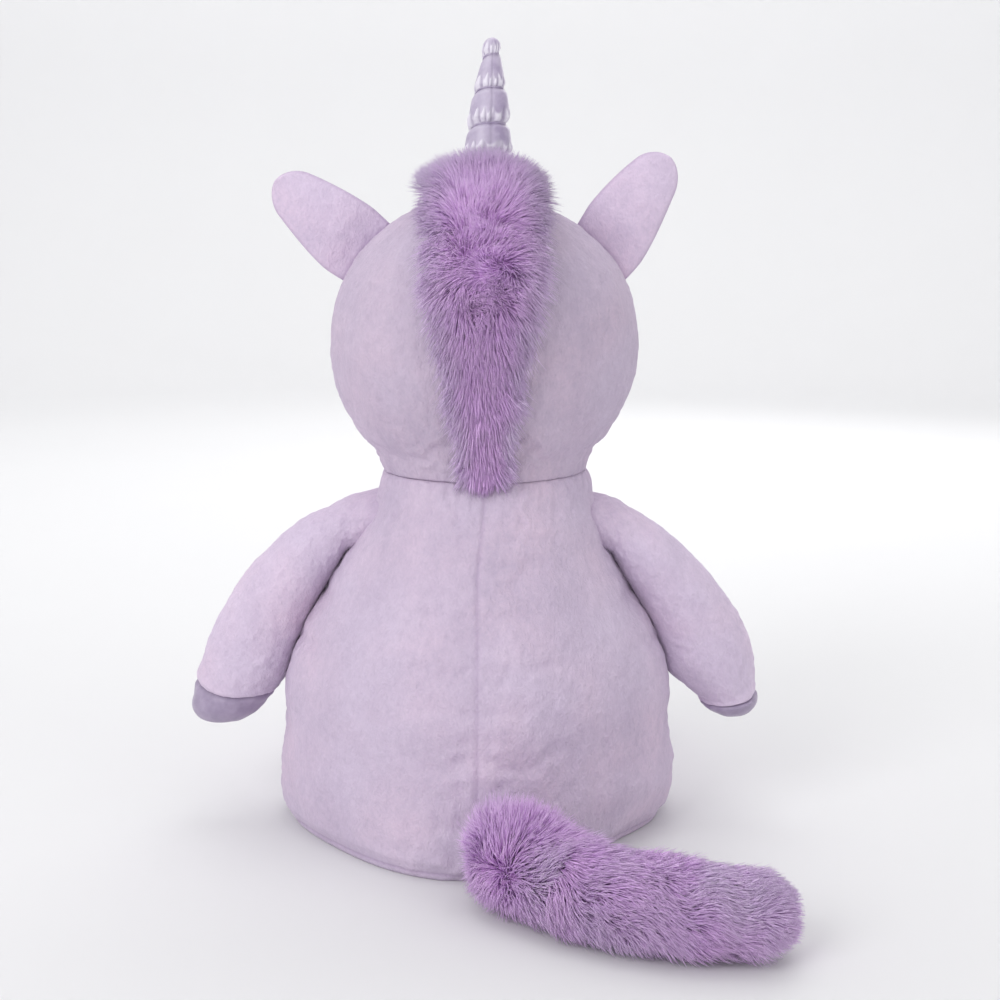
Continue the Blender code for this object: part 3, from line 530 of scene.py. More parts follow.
def catmull_weights(fine, coarse, around):
    """The matrix that reads coarse rows at the places fine, with cubic steps between them."""
    base = np.floor(fine).astype(int)
    t = fine - base
    parts = (
        -0.5 * t + t**2 - 0.5 * t**3,
        1 - 2.5 * t**2 + 1.5 * t**3,
        0.5 * t + 2 * t**2 - 1.5 * t**3,
        -0.5 * t**2 + 0.5 * t**3,
    )
    weights = np.zeros((len(fine), coarse))
    for k, part in enumerate(parts):
        at = base + k - 1
        at = at % coarse if around else np.clip(at, 0, coarse - 1)
        np.add.at(weights, (np.arange(len(fine)), at), part)
    return weights


def refine(grid, rows, columns):
    """A grid closed round its columns, read again with more rows and columns."""
    down = catmull_weights(np.linspace(0, grid.shape[0] - 1, rows), grid.shape[0], False)
    round_it = catmull_weights(np.arange(columns) * grid.shape[1] / columns, grid.shape[1], True)
    return np.einsum("ri,cj,ijk->rck", down, round_it, grid)


def stuffed(surface, columns, vs, held, growth, reach):
    """How far loose stuffing moves a sewn cloth: a Cloth simulation of the surface under pressure with no
    gravity, its cloth a little too large, held along its seams. Returns each point's move, at most reach metres."""
    rest = grid_of(surface, rounds(columns), vs)
    corners, quads, ends = closed_grid(rest, rest[0].mean(axis=0), rest[-1].mean(axis=0))
    cloth = make_mesh("cloth_trial", corners, ends, bpy.data.materials.new("trial"), None, quads)
    u, v = np.meshgrid(rounds(columns), vs)
    weights = np.concatenate([np.broadcast_to(held(u, v), u.shape).ravel(), [1.0, 1.0]])
    seams = cloth.vertex_groups.new(name="seams")
    for level in np.unique(np.round(weights, 2)):
        seams.add(np.flatnonzero(np.round(weights, 2) == level).tolist(), float(level), "REPLACE")
    sim = cloth.modifiers.new("cloth", "CLOTH")
    sim.settings.quality = 6
    sim.settings.mass = 0.15
    sim.settings.tension_stiffness = 12
    sim.settings.compression_stiffness = 12
    sim.settings.shear_stiffness = 4
    sim.settings.bending_stiffness = 0.3
    sim.settings.use_pressure = True
    sim.settings.uniform_pressure_force = STUFFING_PRESSURE
    sim.settings.shrink_min = -growth
    sim.settings.vertex_group_mass = "seams"
    sim.settings.effector_weights.gravity = 0.0
    sim.point_cache.frame_start, sim.point_cache.frame_end = 1, STUFFING_FRAMES
    scene = bpy.context.scene
    for step in range(1, STUFFING_FRAMES + 1):
        scene.frame_set(step)
    evaluated = cloth.evaluated_get(bpy.context.evaluated_depsgraph_get())
    moved = np.empty(len(corners) * 3, np.float32)
    evaluated.data.vertices.foreach_get("co", moved)
    moved = moved.reshape(-1, 3)[: rest.size // 3].reshape(rest.shape) - rest
    bpy.data.objects.remove(cloth, do_unlink=True)
    scene.frame_set(1)
    if not np.isfinite(moved).all():
        raise RuntimeError("the cloth simulation came apart")
    size = np.linalg.norm(moved, axis=-1, keepdims=True)
    return moved * (reach * np.tanh(size / reach) / np.maximum(size, 1e-9))


# Strands


def strands(name, root, way, lay, length, tuft, seed, width, pale, gather, floor=None, clear_of_painted_shade=None):
    """Long pile. Each hair is a closed three-sided taper along a quadratic curve: it leaves its root along way
    and turns to lay, and hairs of one tuft lean to the tuft's mean tip. along is 0 at a root and 1 at a tip,
    shade is the hair's own tone, pale how far it is greyed, and the last argument is 0 where a hair gets
    painted shade and 1, its default, where it keeps its own colour."""
    levels = 3
    rng = np.random.default_rng(seed)
    count = len(root)
    length, width = length[:, None], width[:, None]
    knee = root + way * length * 0.45
    tip = root + unit(mix(way, lay, 0.72)) * length
    tufts, member = np.unique(tuft, return_inverse=True)
    member = member.reshape(-1)
    sizes = np.bincount(member, minlength=len(tufts))[:, None]
    mean_tip = np.stack([np.bincount(member, tip[:, k], len(tufts)) for k in range(3)], axis=-1) / sizes
    mean_knee = np.stack([np.bincount(member, knee[:, k], len(tufts)) for k in range(3)], axis=-1) / sizes
    pull = gather * rng.uniform(0.55, 1.0, (count, 1))
    tip = mix(tip, mean_tip[member], pull)
    knee = mix(knee, mean_knee[member], pull * 0.35)
    t = (np.arange(levels) / (levels - 0.2))[None, :, None]
    line = (1 - t) ** 2 * root[:, None] + 2 * t * (1 - t) * knee[:, None] + t**2 * tip[:, None]
    tangent = unit((1 - t) * (knee - root)[:, None] + t * (tip - knee)[:, None])
    side = unit(np.cross(tangent, unit(rng.normal(size=(count, 1, 3)))))
    rise = np.cross(tangent, side)
    thick = width[:, None] * (1 - t) ** 0.6 * 0.5
    angles = (np.arange(3) * TURN / 3)[None, None, :, None]
    spokes = side[:, :, None] * np.cos(angles) + rise[:, :, None] * np.sin(angles)
    rings = line[:, :, None] + spokes * thick[:, :, None]
    corners = np.concatenate([rings.reshape(count, -1, 3), tip[:, None]], axis=1)
    if floor is not None:
        height, pressed = corners[..., 2], floor * 3
        corners[..., 2] = np.where(
            height < pressed, floor + (floor * 2) * np.exp((height - pressed) / FLOOR_PRESS), height
        )
    per = levels * 3 + 1
    j, n = np.arange(3), (np.arange(3) + 1) % 3
    faces = [[[0, 2, 1]]]
    for k in range(levels - 1):
        a, b = k * 3, (k + 1) * 3
        faces.append(np.stack([a + j, a + n, b + n], axis=-1))
        faces.append(np.stack([a + j, b + n, b + j], axis=-1))
    top = (levels - 1) * 3
    faces.append(np.stack([top + j, top + n, np.full(3, per - 1)], axis=-1))
    one = np.concatenate([np.array(f) for f in faces])
    triangles = (np.arange(count)[:, None, None] * per + one[None]).reshape(-1, 3)
    along = np.concatenate([np.repeat(t.ravel(), 3), [1.0]])
    tone = rng.uniform(0, 1, len(tufts))[member] * 0.65 + rng.uniform(0, 1, count) * 0.35
    clear_of_painted_shade = np.ones(count) if clear_of_painted_shade is None else clear_of_painted_shade
    attributes = {"shade": tone, "pale": pale, "clear_of_painted_shade": clear_of_painted_shade}
    attributes = {key: np.repeat(values, per) for key, values in attributes.items()}
    attributes["along"] = np.tile(along, count)
    return make_mesh(name, corners.reshape(-1, 3), triangles, mane_fur(), attributes)


def tuft_of(a, b, size, seed):
    """Which tuft a root belongs to: the cell of a bent grid that its two distances along the cloth are in."""
    place = np.stack([a, b, np.zeros_like(a)], axis=-1)
    a = a + soft_noise(place, size * 2.2, seed) * size * 0.9
    b = b + soft_noise(place, size * 2.2, seed + 1) * size * 0.9
    return np.floor(a / size).astype(int) * 4096 + np.floor(b / size).astype(int)


# Materials


def tint(name, description, default):
    """A colour among a piece's settings."""
    return FloatVectorProperty(name=name, description=description, default=default, size=3, subtype="COLOR")


def power(name, description, default):
    """A light's power among the stage's settings."""
    return FloatProperty(name=name, description=description, default=default, unit="POWER")


def measure(name, description, default):
    """A length among a piece's settings."""
    return FloatProperty(name=name, description=description, default=default, unit="LENGTH")


class Nodes:
    """A node tree with a short way to add linked nodes."""

    def __init__(self, tree):
        self.tree = tree

    def add(self, kind, inputs=None, **values):
        node = self.tree.nodes.new(kind)
        for key, value in values.items():
            setattr(node, key, value)
        for key, value in (inputs or {}).items():
            socket = node.inputs[key]
            if isinstance(value, bpy.types.NodeSocket):
                self.tree.links.new(value, socket)
            else:
                socket.default_value = value
        return node

    def link(self, start, end):
        self.tree.links.new(start, end)

    def math(self, operation, a, b=0.0, clamp=False):
        node = self.add("ShaderNodeMath", {0: a, 1: b}, operation=operation, use_clamp=clamp)
        return node.outputs[0]

    def noise(self, place, scale, detail=2.0, roughness=0.5):
        node = self.add("ShaderNodeTexNoise", {"Vector": place, "Scale": scale, "Detail": detail})
        node.inputs["Roughness"].default_value = roughness
        return node.outputs["Fac"]

    def ramp(self, value, low, high):
        node = self.add("ShaderNodeMapRange", {"Value": value, "From Min": low, "From Max": high})
        return node.outputs["Result"]

    def blend(self, share, a, b, kind="MIX"):
        node = self.add("ShaderNodeMix", data_type="RGBA", blend_type=kind)
        for socket, value in ((node.inputs[0], share), (node.inputs[6], a), (node.inputs[7], b)):
            if isinstance(value, bpy.types.NodeSocket):
                self.link(value, socket)
            else:
                socket.default_value = value
        return node.outputs[2]


def new_group(name, inputs, outputs):
    """A shader node group with named inputs and outputs; each is (kind, name, default)."""
    tree = bpy.data.node_groups.new(name, "ShaderNodeTree")
    for kind, label, default in inputs:
        socket = tree.interface.new_socket(label, in_out="INPUT", socket_type=kind)
        socket.default_value = default
    for kind, label in outputs:
        tree.interface.new_socket(label, in_out="OUTPUT", socket_type=kind)
    nodes = Nodes(tree)
    return nodes, nodes.add("NodeGroupInput").outputs, nodes.add("NodeGroupOutput").inputs


def pile_group():
    """Brushed pile: soft blotches, streaks along the lay and a fine grain, as a tone and a height."""
    made = bpy.data.node_groups.get("brushed pile")
    if made:
        return made
    floats = [("NodeSocketFloat", "Blotch Scale", 38.0), ("NodeSocketFloat", "Grain Scale", 900.0)]
    nodes, given, out = new_group(
        "brushed pile",
        floats + [("NodeSocketVector", "Stretch", (1.0, 1.0, 0.7))],
        [("NodeSocketFloat", "Tone"), ("NodeSocketFloat", "Tint"), ("NodeSocketFloat", "Height")],
    )
    place = nodes.add("ShaderNodeTexCoord").outputs["Object"]
    stretched = nodes.add("ShaderNodeMapping", {"Vector": place, "Scale": given["Stretch"]}).outputs[0]
    blotch = nodes.noise(stretched, given["Blotch Scale"], 3.0, 0.55)
    streak = nodes.noise(stretched, nodes.math("MULTIPLY", given["Blotch Scale"], 5.5), 3.0, 0.6)
    grain = nodes.noise(stretched, given["Grain Scale"], 2.0, 0.6)
    nap = nodes.noise(stretched, nodes.math("MULTIPLY", given["Grain Scale"], 0.42), 2.0, 0.6)
    tone = nodes.math("ADD", nodes.math("MULTIPLY", blotch, 0.40), nodes.math("MULTIPLY", streak, 0.16))
    tone = nodes.math("ADD", tone, nodes.math("MULTIPLY", nap, 0.22))
    tone = nodes.math("ADD", tone, nodes.math("MULTIPLY", grain, 0.22))
    nodes.link(nodes.ramp(tone, 0.36, 0.64), out["Tone"])
    tint = nodes.noise(place, nodes.math("MULTIPLY", given["Blotch Scale"], 0.6), 2.0)
    nodes.link(nodes.ramp(tint, 0.35, 0.65), out["Tint"])
    height = nodes.math("ADD", nodes.math("MULTIPLY", grain, 0.35), nodes.math("MULTIPLY", streak, 0.25))
    nodes.link(nodes.math("ADD", height, nodes.math("MULTIPLY", nap, 0.4)), out["Height"])
    return nodes.tree


def hair_group():
    """A hair's colour share from its root to its tip, with its own tone."""
    made = bpy.data.node_groups.get("hair shade")
    if made:
        return made
    nodes, given, out = new_group(
        "hair shade",
        [("NodeSocketFloat", "Tone Spread", 0.5)],
        [("NodeSocketFloat", name) for name in ("Tip", "Tone", "Pale", "Clear Of Painted Shade")],
    )
    along = nodes.add("ShaderNodeAttribute", attribute_name="along").outputs["Fac"]
    shade = nodes.add("ShaderNodeAttribute", attribute_name="shade").outputs["Fac"]
    place = nodes.add("ShaderNodeTexCoord").outputs["Object"]
    patch = nodes.noise(place, 55.0, 2.0)
    nodes.link(nodes.math("POWER", along, 1.3), out["Tip"])
    # passes on each hair's mark for painted shade
    nodes.link(nodes.add("ShaderNodeAttribute", attribute_name="clear_of_painted_shade").outputs["Fac"], out["Clear Of Painted Shade"])
    tone = nodes.math("MULTIPLY", nodes.math("SUBTRACT", shade, 0.5), given["Tone Spread"])
    patch = nodes.math("MULTIPLY", nodes.math("SUBTRACT", patch, 0.5), 1.5)
    nodes.link(nodes.math("ADD", nodes.math("ADD", tone, patch), 0.5, clamp=True), out["Tone"])
    pale = nodes.add("ShaderNodeAttribute", attribute_name="pale").outputs["Fac"]
    streak = nodes.math("MULTIPLY", nodes.math("SUBTRACT", nodes.noise(place, 240.0, 2.0), 0.5), 0.8)
    share = nodes.math("MULTIPLY", pale, nodes.math("ADD", nodes.math("MULTIPLY", along, 0.6), 0.5))
    nodes.link(nodes.math("ADD", share, nodes.math("MULTIPLY", streak, pale), clamp=True), out["Pale"])
    return nodes.tree


def satin_group():
    """Satin: long floats of thread that run one way, with slow pulls across them."""
    made = bpy.data.node_groups.get("satin float")
    if made:
        return made
    nodes, given, out = new_group(
        "satin float",
        [("NodeSocketVector", "Stretch", (1.0, 1.0, 0.12)), ("NodeSocketFloat", "Thread Scale", 1500.0)],
        [("NodeSocketFloat", "Tone"), ("NodeSocketFloat", "Height"), ("NodeSocketFloat", "Roughness")],
    )
    place = nodes.add("ShaderNodeTexCoord").outputs["Object"]
    stretched = nodes.add("ShaderNodeMapping", {"Vector": place, "Scale": given["Stretch"]}).outputs[0]
    thread = nodes.noise(stretched, given["Thread Scale"], 1.0)
    pull = nodes.noise(place, 160.0, 3.0, 0.55)
    nodes.link(nodes.ramp(pull, 0.35, 0.65), out["Tone"])
    height = nodes.math("ADD", nodes.math("MULTIPLY", thread, 0.3), nodes.math("MULTIPLY", pull, 0.7))
    nodes.link(height, out["Height"])
    rough = nodes.math("ADD", nodes.math("MULTIPLY", pull, 0.18), 0.24)
    nodes.link(rough, out["Roughness"])
    return nodes.tree


def new_material(name):
    made = bpy.data.materials.new(name)
    made.use_nodes = True
    nodes = Nodes(made.node_tree)
    return made, nodes, made.node_tree.nodes["Principled BSDF"]


def rgba(colour, gain=1.0):
    return (*(min(channel * gain, 1.0) for channel in colour), 1.0)


def bump(nodes, shader, height, strength, distance):
    node = nodes.add("ShaderNodeBump", {"Height": height, "Strength": strength, "Distance": distance})
    nodes.link(node.outputs["Normal"], shader.inputs["Normal"])


def plush_material(name="lilac plush", gain=1.0):
    """Short lilac pile: two close lilacs in brushed patches, with painted shade in seams and folds, and a soft
    sheen.
    The gain makes lit and shaded copies of the pile: above 1 it paints light on a piece, below 1 it paints shade."""
    made = bpy.data.materials.get(name)
    if made:
        return made
    look = bpy.context.scene.unicorn_plush
    made, nodes, shader = new_material(name)
    pile = nodes.add("ShaderNodeGroup", node_tree=pile_group())
    # painted light and shade: above 1 the gain lightens every colour of this copy, below 1 it darkens them
    cool = nodes.blend(pile.outputs["Tone"], rgba(look.shadow_colour, gain), rgba(look.colour, gain))
    warm = nodes.blend(pile.outputs["Tone"], rgba(look.shadow_colour, gain), rgba(look.warm_colour, gain))
    colour = nodes.blend(pile.outputs["Tint"], cool, warm)
    # painted shade: the crease colour is mixed in where the per-point crease attribute marks a seam, fold or crease
    painted_crease_shade = nodes.add("ShaderNodeAttribute", attribute_name="painted_crease_shade").outputs["Fac"]
    colour = nodes.blend(nodes.math("MULTIPLY", painted_crease_shade, 0.75, clamp=True), colour, rgba(look.painted_crease_shade_colour))
    nodes.link(colour, shader.inputs["Base Color"])
    shader.inputs["Roughness"].default_value = 0.95
    shader.inputs["Specular IOR Level"].default_value = 0.15
    shader.inputs["Sheen Weight"].default_value = 0.35
    shader.inputs["Sheen Roughness"].default_value = 0.5
    shader.inputs["Sheen Tint"].default_value = rgba((0.95, 0.86, 1.0))
    bump(nodes, shader, pile.outputs["Height"], 0.6, 0.0022)
    return made


def fur_material(name, root, middle, tip, grey):
    """Long pile: deep purple at the root, clearer along the hair and greyer at its tip. Hairs marked for it get
    painted shade, a fixed darkening of their colour.
    """
    made = bpy.data.materials.get(name)
    if made:
        return made
    made, nodes, shader = new_material(name)
    hair = nodes.add("ShaderNodeGroup", node_tree=hair_group())
    low = nodes.blend(nodes.ramp(hair.outputs["Tip"], 0.0, 0.4), rgba(root), rgba(middle))
    colour = nodes.blend(nodes.ramp(hair.outputs["Tip"], 0.45, 1.0), low, rgba(tip))
    colour = nodes.blend(hair.outputs["Pale"], colour, rgba(grey))
    # painted shade: a fixed darkening for hairs whose mark is below 1
    painted_crest_shade = nodes.blend(1.0, colour, rgba((0.66, 0.66, 0.68)), "MULTIPLY")
    colour = nodes.blend(hair.outputs["Clear Of Painted Shade"], painted_crest_shade, colour)
    darker = nodes.blend(1.0, colour, rgba((0.90, 0.86, 0.94)), "MULTIPLY")
    nodes.link(nodes.blend(hair.outputs["Tone"], darker, colour), shader.inputs["Base Color"])
    shader.inputs["Roughness"].default_value = 0.8
    shader.inputs["Specular IOR Level"].default_value = 0.15
    shader.inputs["Sheen Weight"].default_value = 0.6
    shader.inputs["Sheen Roughness"].default_value = 0.8
    shader.inputs["Sheen Tint"].default_value = rgba((0.85, 0.62, 1.0))
    return made


def undercoat_material():
    made = bpy.data.materials.get("fur undercoat")
    if made:
        return made
    look = bpy.context.scene.unicorn_fur
    made, nodes, shader = new_material("fur undercoat")
    pile = nodes.add("ShaderNodeGroup", node_tree=pile_group())
    pile.inputs["Blotch Scale"].default_value = 90.0
    # the fur's backing in the root colour, dimmed as painted shade for the gaps between tufts, and mottled by the
    # pile's tone
    colour = nodes.blend(pile.outputs["Tone"], rgba(look.root_colour, 0.72), rgba(look.root_colour, 0.95))
    nodes.link(colour, shader.inputs["Base Color"])
    shader.inputs["Roughness"].default_value = 0.95
    shader.inputs["Specular IOR Level"].default_value = 0.1
    bump(nodes, shader, pile.outputs["Height"], 0.8, 0.002)
    return made


def satin_material(name, colour, shadow, painted_highlight_tint, roughness=None):
    """Woven satin: a smooth gloss that breaks over its pulls and folds, with a painted highlight on its puckers and
    painted shade in its folds.
    """
    made = bpy.data.materials.get(name)
    if made:
        return made
    made, nodes, shader = new_material(name)
    weave = nodes.add("ShaderNodeGroup", node_tree=satin_group())
    tone = nodes.blend(weave.outputs["Tone"], rgba(shadow), rgba(colour))
    painted_crease_shade = nodes.add("ShaderNodeAttribute", attribute_name="painted_crease_shade").outputs["Fac"]
    painted_highlight = nodes.add("ShaderNodeAttribute", attribute_name="painted_highlight").outputs["Fac"]
    # painted highlight: the highlight tint is mixed in where the per-point highlight attribute is set
    tone = nodes.blend(nodes.math("MULTIPLY", painted_highlight, 0.85, clamp=True), tone, rgba(painted_highlight_tint))
    # painted shade: the shadow colour, darkened further, is mixed into folds and gathers
    tone = nodes.blend(nodes.math("MULTIPLY", painted_crease_shade, 0.7, clamp=True), tone, rgba(shadow, 0.6))
    nodes.link(tone, shader.inputs["Base Color"])
    if roughness is None:
        nodes.link(weave.outputs["Roughness"], shader.inputs["Roughness"])
    else:
        shader.inputs["Roughness"].default_value = roughness
    shader.inputs["Specular IOR Level"].default_value = 0.6
    shader.inputs["Sheen Weight"].default_value = 0.2
    shader.inputs["Sheen Roughness"].default_value = 0.3
    bump(nodes, shader, weave.outputs["Height"], 0.35, 0.0006)
    return made


def thread_material():
    """Stitching thread: two plies whose twist shows as slanted bands."""
    made = bpy.data.materials.get("purple thread")
    if made:
        return made
    look = bpy.context.scene.unicorn_face
    made, nodes, shader = new_material("purple thread")
    place = nodes.add("ShaderNodeTexCoord").outputs["Object"]
    band = nodes.add(
        "ShaderNodeTexWave", {"Vector": place, "Scale": 900.0, "Distortion": 1.5}, bands_direction="DIAGONAL"
    )
    colour = nodes.blend(band.outputs["Fac"], rgba(look.thread_colour, 0.6), rgba(look.thread_colour))
    nodes.link(colour, shader.inputs["Base Color"])
    shader.inputs["Roughness"].default_value = 0.45
    bump(nodes, shader, band.outputs["Fac"], 0.5, 0.0003)
    return made


def eye_material():
    """Polished black plastic with faint swirls from moulding."""
    made = bpy.data.materials.get("eye plastic")
    if made:
        return made
    look = bpy.context.scene.unicorn_face
    made, nodes, shader = new_material("eye plastic")
    place = nodes.add("ShaderNodeTexCoord").outputs["Object"]
    swirl = nodes.noise(place, 260.0, 2.0)
    colour = nodes.blend(swirl, rgba(look.eye_colour, 0.7), rgba(look.eye_colour, 1.5))
    nodes.link(colour, shader.inputs["Base Color"])
    rough = nodes.math("ADD", nodes.math("MULTIPLY", nodes.noise(place, 700.0), 0.06), 0.05)
    nodes.link(rough, shader.inputs["Roughness"])
    shader.inputs["Coat Weight"].default_value = 0.6
    return made


def fibre_material(name, colour, scale, roughness=0.95):
    """Loose fill, cloth or plain plastic that stays inside the toy."""
    made = bpy.data.materials.get(name)
    if made:
        return made
    made, nodes, shader = new_material(name)
    place = nodes.add("ShaderNodeTexCoord").outputs["Object"]
    tangle = nodes.noise(place, scale, 4.0, 0.65)
    nodes.link(nodes.blend(tangle, rgba(colour, 0.78), rgba(colour)), shader.inputs["Base Color"])
    shader.inputs["Roughness"].default_value = roughness
    bump(nodes, shader, tangle, 0.6, 0.001)
    return made


def fill_material():
    return fibre_material("polyester fill", (0.88, 0.88, 0.86), 420.0)


def mane_fur():
    look = bpy.context.scene.unicorn_fur
    return fur_material("lilac fur", look.root_colour, look.middle_colour, look.tip_colour, look.grey_colour)


def hoof_satin():
    look = bpy.context.scene.unicorn_satin
    return satin_material("hoof satin", look.hoof_colour, look.hoof_shadow, look.hoof_colour, 0.5)


def horn_satin():
    look = bpy.context.scene.unicorn_satin
    return satin_material("horn satin", look.horn_colour, look.horn_shadow, look.painted_highlight_colour)


# Stage


class StageSettings(PropertyGroup):
    floor_colour: tint("Floor", "Colour of the floor and wall", (0.80, 0.80, 0.81))
    key_power: power("Key light", "Power of the main soft light", 10.5)
    fill_power: power("Fill light", "Power of the opposite light", 2.6)
    top_power: power("Top light", "Power of the light overhead", 4.0)
    wall_power: power("Wall light", "Power of the light on the wall", 17.0)
    sky: FloatProperty(name="Sky", description="Strength of the even light all round", default=0.70, min=0.0)


class UNICORN_OT_stage(Operator):
    """Lay a pale floor that curves up to a wall, light it softly, and set the camera behind the toy"""

    bl_idname = "unicorn.stage"
    bl_label = "Stage"

    def execute(self, context):
        look = context.scene.unicorn_stage
        bend = np.linspace(0.0, math.pi / 2, 14)
        radius = np.concatenate([[0.05, 0.5, 1.0, 1.5], 1.9 + 0.6 * np.sin(bend), [2.5]])
        height = np.concatenate([[0.0] * 4, 0.6 - 0.6 * np.cos(bend), [2.2]])
        turn = rounds(96)[::-1]
        points = np.stack(
            [
                radius[:, None] * np.cos(turn),
                radius[:, None] * np.sin(turn),
                np.broadcast_to(height[:, None], (len(height), 96)),
            ],
            axis=-1,
        )
        corners, quads, ends = closed_grid(points, np.zeros(3), np.zeros(3))
        paper, nodes, shader = new_material("pale paper")
        place = nodes.add("ShaderNodeTexCoord").outputs["Object"]
        tone = nodes.blend(nodes.noise(place, 6.0), rgba(look.floor_colour, 0.985), rgba(look.floor_colour))
        nodes.link(tone, shader.inputs["Base Color"])
        shader.inputs["Roughness"].default_value = 0.9
        floor = make_mesh("floor", corners[:-1], ends[:96], paper, None, quads)
        world = bpy.data.worlds.new("studio air")
        world.use_nodes = True
        world.node_tree.nodes["Background"].inputs["Color"].default_value = (1.0, 1.0, 1.0, 1.0)
        world.node_tree.nodes["Background"].inputs["Strength"].default_value = look.sky
        context.scene.world = world
        self.light("key", (0.95, 1.15, 1.05), look.key_power, 0.9)
        self.light("fill", (-1.2, 0.9, 0.7), look.fill_power, 1.0)
        self.light("top", (0.1, -0.2, 1.6), look.top_power, 1.2)
        self.light("front", (-0.5, -1.3, 0.8), look.fill_power, 1.0)
        self.light("wall", (0.0, -0.9, 1.9), look.wall_power, 1.4, (0.0, -2.5, 0.75))
        data = bpy.data.cameras.new("camera")
        data.sensor_width = 36.0
        data.lens = 55.44
        data.shift_x = 0.016
        data.clip_start = 0.01
        camera = bpy.data.objects.new("camera", data)
        camera.location = (0.0, 0.745, 0.300)
        camera.rotation_euler = (math.radians(90 - 10.5), 0.0, math.pi)
        context.scene.collection.objects.link(camera)
        context.scene.camera = camera
        context.scene.view_settings.view_transform = "Standard"
        return {"FINISHED"}

    def light(self, name, place, power, size, towards=(0.0, 0.0, 0.16)):
        lamp = bpy.data.lights.new(name, "AREA")
        lamp.energy = power
        lamp.size = size
        obj = bpy.data.objects.new(name, lamp)
        obj.location = place
        aim = Vector(towards) - Vector(place)
        obj.rotation_euler = aim.to_track_quat("-Z", "Y").to_euler()
        bpy.context.scene.collection.objects.link(obj)


# Plush


class PlushSettings(PropertyGroup):
    colour: tint("Lilac", "Colour of the brushed pile", (0.68, 0.58, 0.73))
    warm_colour: tint("Warm lilac", "Colour of its warm patches", (0.72, 0.58, 0.72))
    shadow_colour: tint("Low pile", "Colour between the tufts", (0.55, 0.46, 0.60))
    # painted shade: the colour put down in seams, folds and creases where shade would fall
    painted_crease_shade_colour: tint("Painted crease shade", "Colour down in a seam or a fold", (0.30, 0.19, 0.36))
    seam_depth: measure("Seam depth", "How far a seam draws the cloth in", 0.0008)
    pile_depth: measure("Pile depth", "Unevenness of the brushed pile", 0.0005)


def pile_relief(points, depth, seed):
    """Unevenness of brushed pile along the way a cloth faces: slow swells, patches and small tufts, all longer
    downwards."""
    down = (1.0, 1.0, 1.4)
    return depth * (
        1.6 * soft_noise(points, 0.034, seed)
        + 1.0 * soft_noise(points, 0.012, seed + 1, down)
        + 0.75 * soft_noise(points, 0.0048, seed + 2, down)
        + 0.55 * soft_noise(points, 0.0023, seed + 3, down)
    )


class UNICORN_OT_body(Operator):
    """Sew the body's cloth: two back panels, a belly and a base, drawn in along their seams"""

    bl_idname = "unicorn.body"
    bl_label = "Body"

    def execute(self, context):
        look = context.scene.unicorn_plush
        columns, rows, coarse = 500, 150, 112
        low, corner = 0.0005, 0.0066

        def from_seams(u, z):
            """How far along the cloth the back seam and the two side seams are."""
            spots = body_surface(u, z)
            around = np.hypot(spots[..., 0], spots[..., 1])
            return [angle_gap(u, line) * around for line in (BACK, 0.0, math.pi)]

        def held(u, z):
            back, left, right = from_seams(u, z)
            lines = bell(back, 0.004) + bell(left, 0.004) + bell(right, 0.004)
            ends = bell(z - NECK_LEVEL, 0.005) + bell(z, 0.006)
            return np.clip(lines + ends, 0.0, 1.0)

        coarse_z = np.linspace(low, NECK_LEVEL, 40)
        move = stuffed(body_surface, coarse, coarse_z, held, 0.016, 0.0011)
        round_off = [low, 0.0012, 0.0021, 0.0028, 0.0034, 0.0040, 0.0047, 0.0056]
        zs = np.concatenate([round_off, np.linspace(corner, NECK_LEVEL, rows)])
        share = (zs - low) / (NECK_LEVEL - low) * (len(coarse_z) - 1)
        down = catmull_weights(share, len(coarse_z), False)
        round_it = catmull_weights(np.arange(columns) * coarse / columns, coarse, True)
        u, z = np.meshgrid(rounds(columns), zs)
        points = body_surface(u, z) + np.einsum("ri,cj,ijk->rck", down, round_it, move)
        facing = grid_normals(points)
        back, left, right = from_seams(u, z)
        lines = bell(back, 0.0011) + 0.4 * (bell(left, 0.0011) + bell(right, 0.0011))
        valleys = bell(back, 0.009) + 0.3 * (bell(left, 0.009) + bell(right, 0.009))
        neck = NECK_LEVEL - z
        base_seam = bell(z - 0.0034, 0.0009)
        gathers = np.sin(u * 46 + 3 * soft_noise(points, 0.02, 5)) * bell(neck, 0.010) * 0.00045
        lift = pile_relief(points, look.pile_depth, 11) * smoothstep(z / 0.01)
        lift = lift - look.seam_depth * lines - 0.0007 * valleys + gathers * smoothstep(neck / 0.002)
        lift = lift - 0.0008 * bell(neck, 0.0035) - 0.0006 * base_seam
        lift = lift - 0.0022 * (1 - np.sqrt(1 - np.clip(1 - z / 0.003, 0, 1) ** 2))
        points = points + facing * lift[..., None]
        points[..., 2] = np.clip(np.where(z < corner, z, points[..., 2]), 0.0003, NECK_LEVEL)
        points[0, :, 2] = 0.0002
        points = neck_rise(settle(points, u, z))
        # painted shade in the back seam, the neck crease and the base seam
        painted_crease_shade = np.clip(0.25 * bell(back, 0.0009) + 0.14 * bell(neck, 0.0020) + 0.45 * base_seam, 0.0, 1.0)
        cloth = skin(
            "body_cloth",
            points,
            plush_material(),
            np.array([0.0, 0.0, 0.0002]),
            np.array([0.0, 0.0, NECK_LEVEL + NECK_RISE - 0.001]),
            {"painted_crease_shade": painted_crease_shade},
        )
        nodes = ("torso_back_left", "torso_back_right", "torso_belly", "base_panel")
        finish(cloth, ("torso", "head"), nodes, NECK_BEND)
        u, z = np.meshgrid(rounds(96), np.linspace(0.006, NECK_LEVEL - 0.004, 60))
        inner = settle(inset(body_surface(u, z), FILL_INSET), u, z)
        inner[..., 2] = np.clip(inner[..., 2], 0.004, NECK_LEVEL - 0.004)
        fill = skin("torso_fill", inner, fill_material())
        finish(fill, "torso", ("torso_stuffing",))
        return {"FINISHED"}


